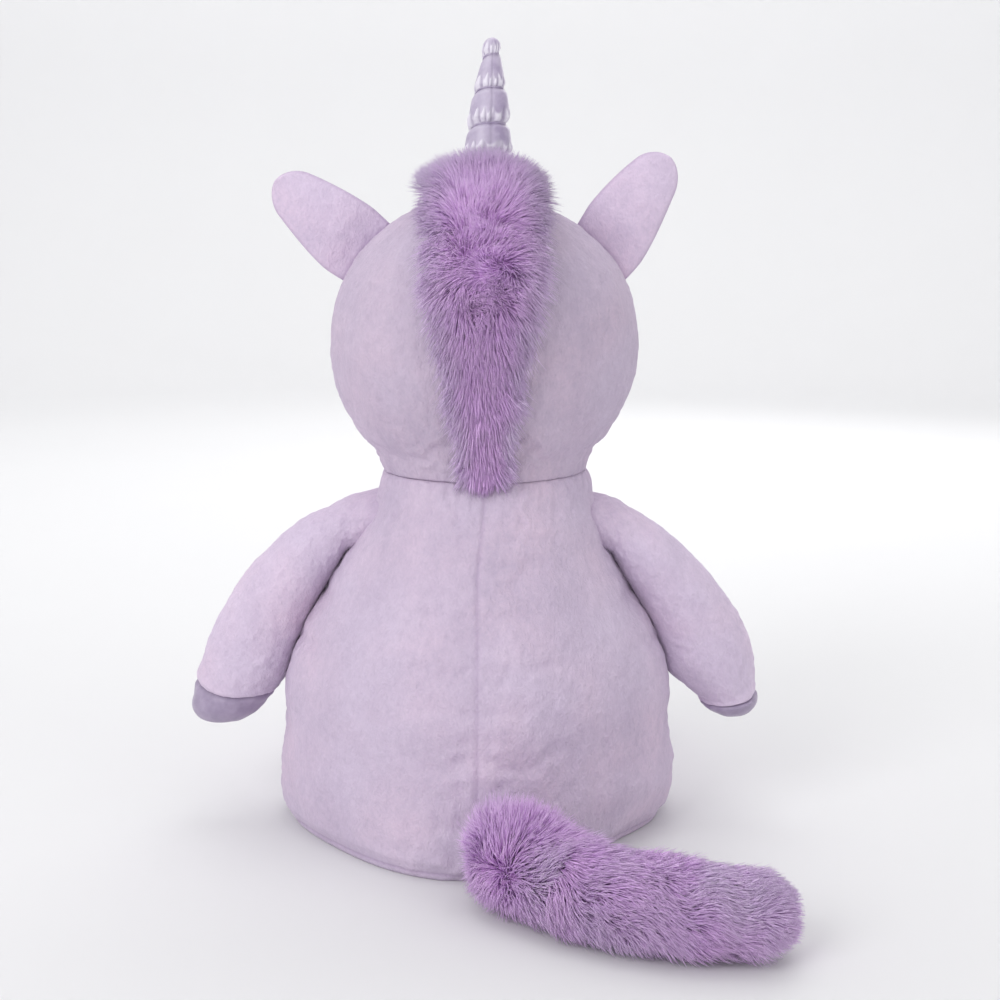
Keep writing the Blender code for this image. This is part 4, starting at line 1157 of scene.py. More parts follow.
class UNICORN_OT_head(Operator):
    """Sew the head's cloth: two back panels and a face, drawn in at the neck and along their seams"""

    bl_idname = "unicorn.head"
    bl_label = "Head"

    def execute(self, context):
        look = context.scene.unicorn_plush
        columns, rows = 400, 176

        def gaps(u, v):
            spots = head_surface(u, v)
            around = np.hypot(spots[..., 0], spots[..., 1])
            seams = (BACK, -FACE_SEAM, math.pi + FACE_SEAM)
            return spots[..., 2], [angle_gap(u, line) * around for line in seams]

        def held(u, v):
            z, seams = gaps(u, v)
            lines = sum(bell(seam, 0.004) for seam in seams)
            return np.clip(lines + bell(z - NECK_LEVEL, 0.005) + smoothstep((v - 0.85) / 0.1), 0.0, 1.0)

        vs = np.linspace(0.0, 0.995, rows)
        move = stuffed(head_surface, 96, np.linspace(0.0, 0.995, 40), held, 0.015, 0.0010)
        u, v = np.meshgrid(rounds(columns), vs)
        points = head_surface(u, v) + refine(move, rows, columns)
        facing = grid_normals(points)
        z, seams = gaps(u, v)
        neck = z - NECK_LEVEL
        fade = smoothstep((0.97 - v) / 0.12)
        lines = sum(bell(seam, 0.0011) for seam in seams) * fade
        valleys = sum(bell(seam, 0.008) for seam in seams) * fade
        gathers = np.sin(u * 43 + 3 * soft_noise(points, 0.02, 6)) * bell(neck, 0.009) * 0.0004
        lift = pile_relief(points, look.pile_depth, 31) - look.seam_depth * lines - 0.0006 * valleys
        lift = lift + gathers * smoothstep(neck / 0.002) - 0.0008 * bell(neck, 0.0035)
        points = points + facing * lift[..., None]
        points[..., 2] = np.maximum(points[..., 2], NECK_LEVEL + 0.0002)
        points = neck_rise(points)
        # painted shade in the neck crease and along the face's seams
        painted_crease_shade = 0.14 * bell(neck, 0.0020) + 0.3 * sum(bell(seam, 0.0009) for seam in seams[1:])
        painted_crease_shade = np.clip(painted_crease_shade, 0.0, 1.0)
        # painted shade: the head gets a copy of the plush darkened by a gain of 0.90
        cloth = skin(
            "head_cloth",
            points,
            plush_material("lilac plush with painted head shade", 0.90),
            np.array([0.0, 0.0, NECK_LEVEL + NECK_RISE + 0.001]),
            np.array([0.0, 0.0, HEAD_LEVEL + HEAD_UPPER]),
            {"painted_crease_shade": painted_crease_shade},
        )
        nodes = ("head_left", "head_right", "face_panel")
        finish(cloth, ("torso", "head"), nodes, NECK_BEND)
        u, v = np.meshgrid(rounds(96), np.linspace(0.10, 0.96, 60))
        fill = skin("head_fill", inset(head_surface(u, v), FILL_INSET), fill_material())
        finish(fill, "head", ("head_stuffing",))
        return {"FINISHED"}


# Face


class FaceSettings(PropertyGroup):
    eye_colour: tint("Eyes", "Colour of the plastic eyes", (0.012, 0.010, 0.014))
    thread_colour: tint("Thread", "Colour of the stitching", (0.30, 0.20, 0.38))
    eye_dome: measure("Eye dome", "Height of an eye over the plush", 0.0042)


def lathe(profile, place, way, columns=48):
    """Points of a turned piece: (radius, height) pairs carried round the line through place along way."""
    side = unit(np.cross(way, BACKWARD + UP * 0.3))
    other = np.cross(way, side)
    radius, height = np.array(profile).T
    turn = rounds(columns)
    ring = side * np.cos(turn)[:, None] + other * np.sin(turn)[:, None]
    return place + way * height[:, None, None] + ring[None] * radius[:, None, None]


def thread_tube(name, path, radius, material, rows=220, columns=12, twist=0.0, plies=2):
    """A thread along a path: a ring of points whose plies bulge and turn as they go."""
    line, length = spline(path)
    t = np.linspace(0.0, 1.0, rows)
    u, v = np.meshgrid(rounds(columns), t)
    size = radius * (1.0 + 0.22 * np.cos(plies * u - twist * v))
    ends = np.sqrt(np.clip(np.minimum(v, 1 - v) * length / radius, 0.02, 1.0))
    centre = line(v)
    onward = unit(line(v + 1e-3) - line(v - 1e-3))
    side = unit(np.cross(onward, UP + 1e-3))
    rise = np.cross(onward, side)
    out = side * np.cos(u)[..., None] + rise * np.sin(u)[..., None]
    return skin(name, centre + out * (size * ends)[..., None], material)


class UNICORN_OT_face(Operator):
    """Sew on the muzzle with its nostrils and smile, and fasten the eyes"""

    bl_idname = "unicorn.face"
    bl_label = "Face"

    def execute(self, context):
        look = context.scene.unicorn_face
        plush = context.scene.unicorn_plush
        rows, columns = 90, 150
        vs = 1.0 - (1.0 - np.linspace(0.0, 1.0, rows)) ** 1.25
        u, v = np.meshgrid(rounds(columns), np.minimum(vs, 0.992))
        points = muzzle_surface(u, v)
        facing = grid_normals(points)
        rim = bell(v, 0.05)
        lift = pile_relief(points, plush.pile_depth * 0.8, 51) * smoothstep(v / 0.1) - 0.0006 * rim
        points = points + facing * lift[..., None]
        seat_x = MUZZLE_HALF_WIDTH * 0.98 * np.cos(u[0])
        seat_z = MUZZLE_LEVEL + MUZZLE_HALF_HEIGHT * 0.98 * np.sin(u[0])
        seat = face_spot(seat_x, seat_z, 0.0006)
        points = np.concatenate([seat[None], points])
        # painted shade in the crease round the muzzle's seam with the face
        painted_crease_shade = np.clip(1.1 * bell(np.concatenate([[v[0] * 0], v]), 0.035), 0.0, 1.0)
        tip = muzzle_surface(0.0, 1.0)
        base = face_spot(0.0, MUZZLE_LEVEL, 0.0005)
        muzzle = skin("muzzle_cloth", points, plush_material(), base, tip, {"painted_crease_shade": painted_crease_shade})
        finish(muzzle, "head", ("muzzle_skin",))
        self.nose_and_smile()
        for side in SIDES:
            self.eye(side, look)
        return {"FINISHED"}

    def nose_and_smile(self):
        """The nostrils are pads of satin stitch, ridged by their threads; the smile is one twisted thread."""
        for side in SIDES:
            low, high = box_of(f"nostril_{side}")
            middle = (low + high) / 2
            bearing, v = muzzle_spot(middle[0], middle[2])
            us, vs = np.array([bearing - 1e-3, bearing, bearing + 1e-3]), np.array([v - 1e-3, v, v + 1e-3])
            way = grid_normals(grid_of(muzzle_surface, us, vs), False)[1, 1]
            t = np.linspace(0.0, math.pi / 2, 14)
            profile = np.stack([0.0036 * np.cos(t), 0.0013 * np.sin(t)], axis=-1)[:-1]
            points = lathe([(0.0036, -0.0006), *profile], middle - way * 0.0006, way, 64)
            across = points @ unit(np.array([1.0, 0.0, 0.4]))
            ridge = 0.00018 * np.abs(np.sin(across / 0.0009 * math.pi))
            points = points + way * ridge[..., None]
            points[0] -= way * ridge[0][:, None]
            pad = skin(f"nostril_stitch_{side}", points, thread_material(), None, middle + way * 0.0008)
            finish(pad, "head", (f"nostril_{side}",))
        low, high = box_of("smile_stitch")
        reach, rise = (high[0] - low[0]) / 2, high[2] - low[2]
        x = np.linspace(-1.0, 1.0, 25)
        z = low[2] + 0.0007 + (rise - 0.0014) * x**2
        bearing, v = muzzle_spot(x * reach, z)
        e = 1e-3
        way = unit(
            np.cross(
                muzzle_surface(bearing + e, v) - muzzle_surface(bearing - e, v),
                muzzle_surface(bearing, v + e) - muzzle_surface(bearing, v - e),
            )
        )
        path = muzzle_surface(bearing, v) + way * 0.0007
        smile = thread_tube("smile_thread", path, 0.0008, thread_material(), twist=150.0)
        finish(smile, "head", ("smile_stitch",))

    def eye(self, side, look):
        """A turned dome with a rolled rim, seated in the plush."""
        sign = SIDES[side]
        split = HEAD_LOWER / (HEAD_LOWER + HEAD_UPPER * math.pi / 2)
        u = math.radians(-90 + sign * 28.0)
        v = split + 0.004 / (HEAD_UPPER * math.pi / 2) * (1 - split)
        e = 1e-3
        steps = np.array([-e, 0.0, e])
        way = grid_normals(grid_of(head_surface, u + steps, v + steps), False)[1, 1]
        place = head_surface(np.array(u), np.array(v))
        r = 0.0063
        t = np.linspace(0.0, math.pi / 2, 22)
        dome = np.stack([r * np.cos(t), 0.0004 + look.eye_dome * np.sin(t)], axis=-1)[:-1]
        shaft = [(0.0016, -0.0095), (0.0016, -0.0012), (r * 0.7, -0.0010), (r * 0.96, -0.0006), (r, -0.0001)]
        points = lathe([*shaft, *dome], place, way, 56)
        eye = skin(f"eye_dome_{side}", points, eye_material(), None, place + way * (0.0004 + look.eye_dome))
        finish(eye, "head", (f"eye_{side}",))


# Horn


class SatinSettings(PropertyGroup):
    horn_colour: tint("Horn", "Colour of the horn's satin", (0.52, 0.45, 0.60))
    # painted highlight: the colour mixed onto the pleats above each wrap and onto a band down one side
    painted_highlight_colour: tint("Horn painted highlight", "Colour where the satin is crumpled", (0.88, 0.84, 0.93))
    # the satin's darker pull tone, also used, darkened further, as painted shade in the folds
    horn_shadow: tint("Horn folds", "Colour in the satin's pulls", (0.38, 0.31, 0.47))
    hoof_colour: tint("Hooves", "Colour of the hooves' satin", (0.42, 0.345, 0.485))
    # the hoof satin's darker pull tone, also used, darkened further, as painted shade at its tucked edge
    hoof_shadow: tint("Hoof folds", "Colour in its pulls", (0.34, 0.275, 0.405))
    gather: FloatProperty(
        name="Gather",
        description="Share of the horn's radius that a wrap draws in",
        default=0.17,
        min=0.0,
        max=0.4,
    )


HORN_AXIS = np.array([0.0, -math.sin(HORN_LEAN), math.cos(HORN_LEAN)])
HORN_HURRY = 0.90  # how much of a wrap's climb is over the horn's front
HORN_ASIDE = (0.0010, 0.0030)
HORN_SHAPE = (
    (0.0, 0.0138),
    (0.27, 0.0114),
    (0.45, 0.0100),
    (0.58, 0.0090),
    (0.68, 0.0079),
    (0.78, 0.0060),
    (0.87, 0.0046),
    (0.94, 0.0043),
    (1.0, 0.0042),
)
HORN_WRAPS = (-0.14, 0.06, 0.27, 0.455, 0.675, 0.885, 1.10)  # where the winding crosses the horn's back


def horn_foot():
    way = np.array([0.0, -math.sin(HORN_SEAT), math.cos(HORN_SEAT)])
    return HEAD_MIDDLE + way * head_distance(HEAD_MIDDLE, way)


def horn_line(v):
    """The horn's middle line, which leans a little to the toy's right."""
    v = np.asarray(v, float)
    aside = np.array([-1.0, 0.0, 0.0]) * (HORN_ASIDE[0] + HORN_ASIDE[1] * v)[..., None]
    return horn_foot() + HORN_AXIS * (HORN_LENGTH * v)[..., None] + aside


def horn_phase(u, v):
    """How many wraps lie below a point. The winding climbs one wrap each turn, mostly over the horn's front."""
    climb = (u - BACK) / TURN - HORN_HURRY / TURN * np.sin(u - BACK)
    return np.interp(v, HORN_WRAPS, np.arange(len(HORN_WRAPS))) - climb


def horn_out(u):
    """The way out of the horn's middle line at angle u."""
    return np.stack([np.cos(u), np.sin(u) * math.cos(HORN_LEAN), np.sin(u) * math.sin(HORN_LEAN)], axis=-1)


def horn_radius(v):
    over = np.clip((v - 0.94) / 0.06, 0.0, 1.0)
    return through(HORN_SHAPE, np.clip(v, 0.0, 1.0)) * np.sqrt(np.maximum(1.0 - over * over, 0.0))


def horn_points(u, v, gather):
    """The gathered cone: it is drawn in at each wrap, full between them, and pleated above a wrap. Also gives
    how far a point is past the wrap below it, where the pleats are, the pleat and the seam."""
    phase = horn_phase(u, v)
    t = phase - np.floor(phase)
    drawn = bell(t, 0.11) + bell(1 - t, 0.10)
    fade = smoothstep((0.985 - v) / 0.05)
    swell = 1.0 + 0.06 * np.sin(math.pi * t) ** 0.7 - gather * drawn * fade
    wave = 13 * u + 2.2 * np.sin(3 * u + 5 * np.floor(phase)) + 1.7 * np.floor(phase)
    pleat = np.sin(wave) + 0.5 * np.sin(1.7 * wave + 1.0)
    ragged = 0.20 + 0.05 * np.sin(0.9 * wave)
    window = smoothstep((ragged * 1.9 - t) / 0.14) * smoothstep((t - 0.015) / 0.05)
    seam = bell(angle_gap(u, BACK + 0.12), 0.08)
    radius = horn_radius(v) * (swell + 0.040 * pleat * window * fade - 0.035 * seam * fade)
    return horn_line(v) + horn_out(u) * radius[..., None], t, window * fade, pleat, seam * fade


class UNICORN_OT_horn(Operator):
    """Gather a satin cone with a thread wound round it"""

    bl_idname = "unicorn.horn"
    bl_label = "Horn"

    def execute(self, context):
        look = context.scene.unicorn_satin
        rows, columns = 300, 168
        vs = rounded_rows(-0.02, 0.93, rows, 0.068, 16)
        u, v = np.meshgrid(rounds(columns), vs)
        points, t, window, pleat, seam = horn_points(u, v, look.gather)
        crumple = soft_noise(points, 0.0032, 71) * 0.6 + soft_noise(points, 0.0015, 72) * 0.4
        points = points + grid_normals(points) * (crumple * (0.00008 + 0.00042 * window))[..., None]
        # painted shade at each wrap, along the back seam and in the pleats' troughs
        painted_crease_shade = 0.55 * bell(t, 0.035) + 0.45 * bell(1 - t, 0.10) + 0.4 * seam + 0.25 * window * (pleat < -0.5)
        painted_crease_shade = np.clip(painted_crease_shade, 0.0, 1.0) * smoothstep((0.97 - v) / 0.05)
        # painted highlight on the pleats above each wrap and on a fixed band down one side
        painted_highlight = np.clip(window * (0.75 + 0.5 * pleat) + 0.3 * bell(angle_gap(u, 1.1), 0.5), 0.0, 1.0)
        tip = horn_line(1.0)
        cone = skin("horn_satin", points, horn_satin(), None, tip, {"painted_crease_shade": painted_crease_shade, "painted_highlight": painted_highlight})
        finish(cone, "head", ("horn_skin",))
        u, v = np.meshgrid(rounds(48), np.linspace(0.01, 0.95, 60))
        inner = horn_line(v) + horn_out(u) * (horn_radius(v) * 0.70 - 0.0006)[..., None]
        fill = skin("horn_fill", inner, fill_material())
        finish(fill, "head", ("horn_stuffing",))
        turns = np.linspace(0.0, 1.0, 260)
        winding_v = np.linspace(HORN_WRAPS[1], HORN_WRAPS[-2], 4000)
        winding_u = self.follow(winding_v)
        place, *_ = horn_points(winding_u, winding_v, look.gather)
        place = place + unit(place - horn_line(winding_v)) * 0.00012
        path = place[(turns * (len(place) - 1)).astype(int)]
        thread = thread_tube("horn_winding", path, 0.00032, horn_satin(), rows=900, columns=6)
        finish(thread, "head", ("horn_thread",))
        return {"FINISHED"}

    def follow(self, v):
        """The angle of the winding at a height, by trying the turns that its phase passes whole numbers at."""
        climb = np.linspace(0.0, TURN, 721)
        share = climb / TURN - HORN_HURRY / TURN * np.sin(climb)
        phase = np.interp(v, HORN_WRAPS, np.arange(len(HORN_WRAPS)))
        whole = np.floor(phase)
        return BACK + np.interp(phase - whole, share, climb) + TURN * whole


# Fur


class FurSettings(PropertyGroup):
    root_colour: tint("Roots", "Colour at the roots", (0.90, 0.53, 1.0))
    middle_colour: tint("Hair", "Colour along a hair", (0.94, 0.61, 1.0))
    tip_colour: tint("Tips", "Colour at the tips", (0.93, 0.66, 1.0))
    grey_colour: tint("Pale hair", "Colour of hair that thins out", (0.84, 0.73, 0.90))
    mane_pile: measure("Mane pile", "Length of the mane", 0.022)
    tail_pile: measure("Tail pile", "Length of the tail's fur", 0.0155)
    mane_hairs: IntProperty(name="Mane hairs", description="Hairs in the mane", default=27000, min=100)
    tail_hairs: IntProperty(name="Tail hairs", description="Hairs in the tail", default=31000, min=100)


def mane_width(along):
    """Half the mane's width at a share of its length: even at first, and narrow at the nape."""
    return MANE_HALF_WIDTH * (1.0 - (1.0 - MANE_NAPE_SHARE) * smoothstep((along - 0.45) / 0.55))


def mane_point(x, along, lift):
    """A point over the head at a sideways offset and a share of the mane, lift metres off the head."""
    angle = np.radians(mix(MANE_START, MANE_END, along))
    way = np.stack(np.broadcast_arrays(np.zeros_like(angle), np.cos(angle), np.sin(angle)), axis=-1)
    start = HEAD_MIDDLE + np.stack(np.broadcast_arrays(x, 0.0 * angle, 0.0 * angle), axis=-1)
    return start + way * (head_distance(start, way) + lift)[..., None], way


class UNICORN_OT_mane(Operator):
    """Plant the mane: a dense undercoat and tufts of long hair from the horn to the nape"""

    bl_idname = "unicorn.mane"
    bl_label = "Mane"

    def execute(self, context):
        look = context.scene.unicorn_fur
        along = np.linspace(0.0, 1.0, 120)
        ring = rounds(40)
        a, c = np.meshgrid(along, ring, indexing="ij")
        ends = np.sqrt(np.clip(np.minimum(a, 1 - a) / 0.03, 0.0, 1.0))
        over = np.clip(np.sin(c), 0.0, 1.0)
        height = mix(0.0080, 0.0035, smoothstep((a - 0.4) / 0.5))
        points, _ = mane_point(-mane_width(a) * np.cos(c) * ends, a, 0.0006 + height * over * ends)
        points = points + grid_normals(points) * (soft_noise(points, 0.004, 91) * 0.0008 * over)[..., None]
        undercoat = skin("mane_undercoat", points[:, ::-1], undercoat_material())
        finish(undercoat, "head", ("mane_fur",))
        bands = {
            "crest": (0.0, 0.30, 101, 0.40),
            "back": (0.30, 0.66, 102, 0.36),
            "nape": (0.66, 1.0, 103, 0.24),
        }
        for name, (first, last, seed, part) in bands.items():
            self.plant(name, first, last, seed, int(look.mane_hairs * part), look.mane_pile)
        return {"FINISHED"}

    def plant(self, name, first, last, seed, count, pile):
        """Hairs stand up round the horn, lie in short tangled tufts in the middle of the head and fall to the
        nape below. Those at the sides are combed out flat over the plush, and are pale."""
        rng = np.random.default_rng(seed)
        a = rng.uniform(first, last, count)
        x = rng.uniform(-1.0, 1.0, count)
        root, out = mane_point(x * mane_width(a) * 0.96, a, 0.0030)
        down = unit(np.cross(np.array([1.0, 0.0, 0.0]), out)) * -1.0
        side = np.broadcast_to(np.array([1.0, 0.0, 0.0]), out.shape)
        edge = np.abs(x)
        flat = smoothstep((edge - 0.35) / 0.65)[:, None]
        tangle = (bell(a - 0.44, 0.16) * bell(x, 0.75))[:, None]
        swirl = soft_noise(root, 0.0060, seed + 20)[:, None]
        sway = soft_noise(root, 0.0066, seed + 40)[:, None]
        wide = soft_noise(root, 0.018, seed + 60)[:, None]
        rise = smoothstep((0.36 - a) / 0.20)[:, None]
        crest = smoothstep((0.16 - a) / 0.16)[:, None]
        nape = smoothstep((a - 0.42) / 0.30)[:, None]
        fan = (x * edge**0.5)[:, None]
        jitter = rng.normal(scale=0.16, size=(count, 3))
        twist = mix(0.22, 0.80, tangle)
        drop = mix(nape, 0.75, flat * (1.0 - crest)) - rise * (1.0 - flat) * mix(0.75, 0.25, crest)
        way = unit(
            out * mix(1.0, 0.5, flat)
            + side * (fan * 0.5 + swirl * 0.35)
            + down * (drop * 0.5 + sway * 0.3)
            + jitter
        )
        lay = unit(
            out * mix(mix(mix(0.30, 0.42, tangle), 0.12, flat), 0.85, crest)
            + side * (fan * mix(mix(0.75, 0.45, nape), 0.80, crest) + swirl * twist + wide * 0.2)
            + down * (drop + sway * twist)
            + jitter
        )
        length = pile * rng.uniform(0.75, 1.05, count)
        length = length * mix(1.0, 0.80, nape[:, 0]) * mix(1.0, 0.72, tangle[:, 0])
        length = length * mix(1.0, np.where(x > 0, 0.84, 0.68), crest[:, 0] * edge**2)
        width = rng.uniform(0.00042, 0.00078, count)
        arc = a * math.radians(MANE_START - MANE_END) * 0.066
        tuft = tuft_of(x * mane_width(a), arc, 0.0034, seed)
        pale = np.clip(flat[:, 0] * 0.95 + 0.85 * crest[:, 0] + 0.2 * wide[:, 0], 0.0, 1.0)
        pale = pale * (1.0 - 0.8 * tangle[:, 0])
        gather = 0.48 if name == "back" else 0.32
        # painted shade on the crest by the horn, fading out over the first 40 % of the mane
        clear_of_painted_shade = smoothstep((a - 0.02) / 0.38)
        fur = strands(f"mane_{name}", root, way, lay, length, tuft, seed, width, pale, gather, clear_of_painted_shade=clear_of_painted_shade)
        finish(fur, "head")


def tail_path():
    """The tail's centre line on the floor, from its root behind the body round to the toy's right."""
    root = joint_place("tail_sway")
    spots, pieces = [root], 6
    for k in range(pieces):
        share = (k + 0.5) / pieces
        bearing = math.radians(TAIL_BEARINGS[0] + (TAIL_BEARINGS[1] - TAIL_BEARINGS[0]) * share**1.2)
        way = np.array([math.cos(bearing), math.sin(bearing), 0.0])
        spots.append(spots[-1] + way * (TAIL_LENGTH / pieces))
    return spline(np.array(spots))


def tail_size(length):
    def size(v):
        swell = np.sin(np.clip(v * length / TAIL_ROOT_TAPER, 0.0, 1.0) * math.pi / 2)
        base = TAIL_ROOT_RADIUS + (TAIL_RADIUS - TAIL_ROOT_RADIUS) * swell
        base = base * (1.0 - 0.22 * smoothstep((v - 0.55) / 0.45))
        over = np.maximum(0.0, (v - 0.90) / 0.10)
        return np.maximum(base * np.sqrt(np.maximum(1.0 - over * over, 0.0)), 1e-5)

    return size


class UNICORN_OT_tail(Operator):
    """Plant the tail: a fur tube on the floor whose tufts lie towards its end"""

    bl_idname = "unicorn.tail"
    bl_label = "Tail"

    def execute(self, context):
        look = context.scene.unicorn_fur
        path, length = tail_path()
        size = tail_size(length)

        def core(v):
            return np.maximum(size(v) - 0.0022, 1e-4)

        surface = tube(path, core, core, UP)
        rows, columns = 120, 72
        vs = rounded_rows(0.0, 0.90, rows, 0.085, 14)
        u, v = np.meshgrid(rounds(columns), vs)
        points = surface(u, v)
        points = points + grid_normals(points) * (soft_noise(points, 0.004, 95) * 0.0005)[..., None]
        points[..., 2] = np.maximum(points[..., 2], 0.0006)
        undercoat = skin("tail_undercoat", points, undercoat_material(), None, path(0.988))
        bend = self.bend(path, length)
        finish(undercoat, ("torso", "tail"), ("tail_fur",), bend)
        bands = {
            "root": (-0.01, 0.34, 201, 0.34),
            "middle": (0.34, 0.68, 202, 0.34),
            "end": (0.68, 0.96, 203, 0.32),
        }
        for name, (first, last, seed, part) in bands.items():
            count = int(look.tail_hairs * part)
            self.plant(name, first, last, seed, count, look.tail_pile, path, length, core, bend)
        return {"FINISHED"}

    def bend(self, path, length):
        return path(0.02), path(0.02 + 0.016 / length)

    def plant(self, name, first, last, seed, count, pile, path, length, core, bend):
        """Hairs stand at the root, turn towards the end and swirl in patches. The underside has few."""
        rng = np.random.default_rng(seed)
        v, u = rng.uniform(first, last, count), rng.uniform(0.0, TURN, count)
        keep = rng.uniform(0.0, 1.0, count) < np.where(np.sin(u) < -0.45, 0.3, 1.0)
        v, u = v[keep], u[keep]
        count = len(v)
        v = np.maximum(v, 0.0)
        root = tube(path, core, core, UP)(u, v)
        onward = unit(path(v + 1e-3) - path(v - 1e-3))
        out = unit(root - path(v))
        near_end = smoothstep((v - 0.84) / 0.12)[:, None]
        out = unit(mix(out, onward, near_end * 0.8))
        round_it = np.cross(onward, out)
        swirl = soft_noise(root, 0.013, seed + 20)[:, None]
        sway = soft_noise(root, 0.010, seed + 40)[:, None]
        base = smoothstep((0.42 - v) / 0.42)[:, None]
        above = np.clip(out[:, 2:3], 0.0, 1.0)
        jitter = rng.normal(scale=0.16, size=(count, 3))
        way = unit(out + onward * (0.35 + swirl * 0.45) + round_it * sway * 0.55 + UP * base * 0.5 + jitter)
        lay = unit(
            out * mix(0.36, 0.70, base * above)
            + onward * (0.85 - 0.75 * base + swirl * 0.65)
            + round_it * sway * 0.85
            + UP * mix(-0.20, 0.85 * above, base)
            + jitter
        )
        hairs = pile * rng.uniform(0.75, 1.05, count)
        hairs = hairs * mix(1.0, 0.62, near_end[:, 0]) * mix(0.86, 1.0, above[:, 0])
        hairs = hairs * mix(1.0, mix(0.85, 1.60, above[:, 0]), base[:, 0])
        root = root - out * 0.0008
        width = rng.uniform(0.00042, 0.00078, count)
        tuft = tuft_of(u * 0.0150, v * length, 0.0036, seed)
        patch = soft_noise(root, 0.016, seed + 60)
        pale = np.clip(0.42 + 0.55 * patch + 0.25 * np.abs(out[:, 2]) - 0.25 * above[:, 0], 0.0, 0.85)
        fur = strands(f"tail_{name}", root, way, lay, hairs, tuft, seed, width, pale, 0.34, floor=0.0006)
        finish(fur, ("torso", "tail"), (), bend)


# Ears


class UNICORN_OT_ears(Operator):
    """Sew each ear from a plush leaf and a satin leaf, padded and joined along their edge"""

    bl_idname = "unicorn.ears"
    bl_label = "Ears"

    def execute(self, context):
        for side, sign in SIDES.items():
            self.ear(side, sign)
        return {"FINISHED"}

    def half_width(self, share):
        tip = np.sqrt(np.maximum(1.0 - np.maximum((share - 0.80) / 0.20, 0.0) ** 2, 0.0))
        return EAR_HALF_WIDTH * through(EAR_SHAPE, share) * tip

    def ear(self, side, sign):
        """A leaf's ring runs along the flat inner side and back over the padded one, which rises as half an
        ellipse does."""
        joint = JOINTS[f"ear_flop_{side}"]
        hinge = joint_place(f"ear_flop_{side}")
        across = np.array(joint["axis"], float)
        out = np.cross(across, BACKWARD) * sign
        out = out if out[0] * sign > 0 else -out
        if across[2] < 0:
            across = -across
        look = bpy.context.scene.unicorn_plush
        # painted light: the ears get a copy of the plush lightened by a gain of 1.15
        plush = plush_material("lilac plush with painted ear light", 1.15)
        leaves = {
            f"ear_back_{side}": (1.0, EAR_BACK_THICKNESS, plush, "lilac_plush"),
            f"ear_lining_{side}": (-1.0, EAR_LINING_THICKNESS, horn_satin(), "lilac_satin"),
        }
        shares = 1.0 - (1.0 - np.linspace(0.0, 0.999, 90)) ** 1.35
        turn = rounds(96)
        for index, (node, (face, thickness, material, slot)) in enumerate(leaves.items()):
            c, s = np.meshgrid(turn, shares)
            half = self.half_width(s)
            lean = EAR_LEAN[side] * smoothstep(s * 0.9 + 0.1)
            w = -np.cos(c) * half + lean
            foot = hinge + across * w[..., None] - out * 0.04
            begin = np.where(in_head(foot), head_distance(foot, out) - 0.04 - 0.0004, 0.0)
            spot = hinge + out * (begin + (EAR_LENGTH - begin) * s)[..., None] + across * w[..., None]
            swell = EAR_ROOT_THICKNESS + (thickness - EAR_ROOT_THICKNESS) * smoothstep(s / 0.35)
            swell = swell * (1.0 - 0.45 * smoothstep((s - 0.5) / 0.5))
            over = np.clip(np.sin(c), 0.0, 1.0)
            rim = np.clip(1.0 - half * (1 - np.abs(np.cos(c))) / 0.0022, 0.0, 1.0) ** 2
            bulge = 0.00015 + (swell * 1.05 + 0.0004) * over ** 0.8
            points = spot + BACKWARD * (face * bulge)[..., None]
            relief = pile_relief(points, look.pile_depth * (0.55 if face > 0 else 0.15), 61 + index)
            points = points + BACKWARD * (face * relief * over - face * 0.0004 * rim * over)[..., None]
            # painted shade in the crease at the ear's root and along its rim
            painted_root_and_rim_shade = bell(s, 0.05) + 0.6 * rim * (over > 0)
            if face * sign < 0:
                points, painted_root_and_rim_shade = points[:, ::-1], painted_root_and_rim_shade[:, ::-1]
            points = points if self.faces_out(points) else points[:, ::-1]
            leaf = skin(f"{node}_cloth", points, material, None, None, {"painted_crease_shade": np.clip(painted_root_and_rim_shade, 0.0, 1.0)})
            bend = (hinge, hinge + out * 0.012)
            finish(leaf, ("head", f"ear_{side}"), (node,), bend)

    def faces_out(self, points):
        """Whether a closed grid's faces point out, by the sign of its volume."""
        corners, quads, ends = closed_grid(points, points[0].mean(axis=0), points[-1].mean(axis=0))
        corners = corners - corners.mean(axis=0)
        triangles = np.concatenate([quads[:, :3], quads[:, [0, 2, 3]], ends])
        return np.linalg.det(corners[triangles]).sum() > 0


# Arms and legs


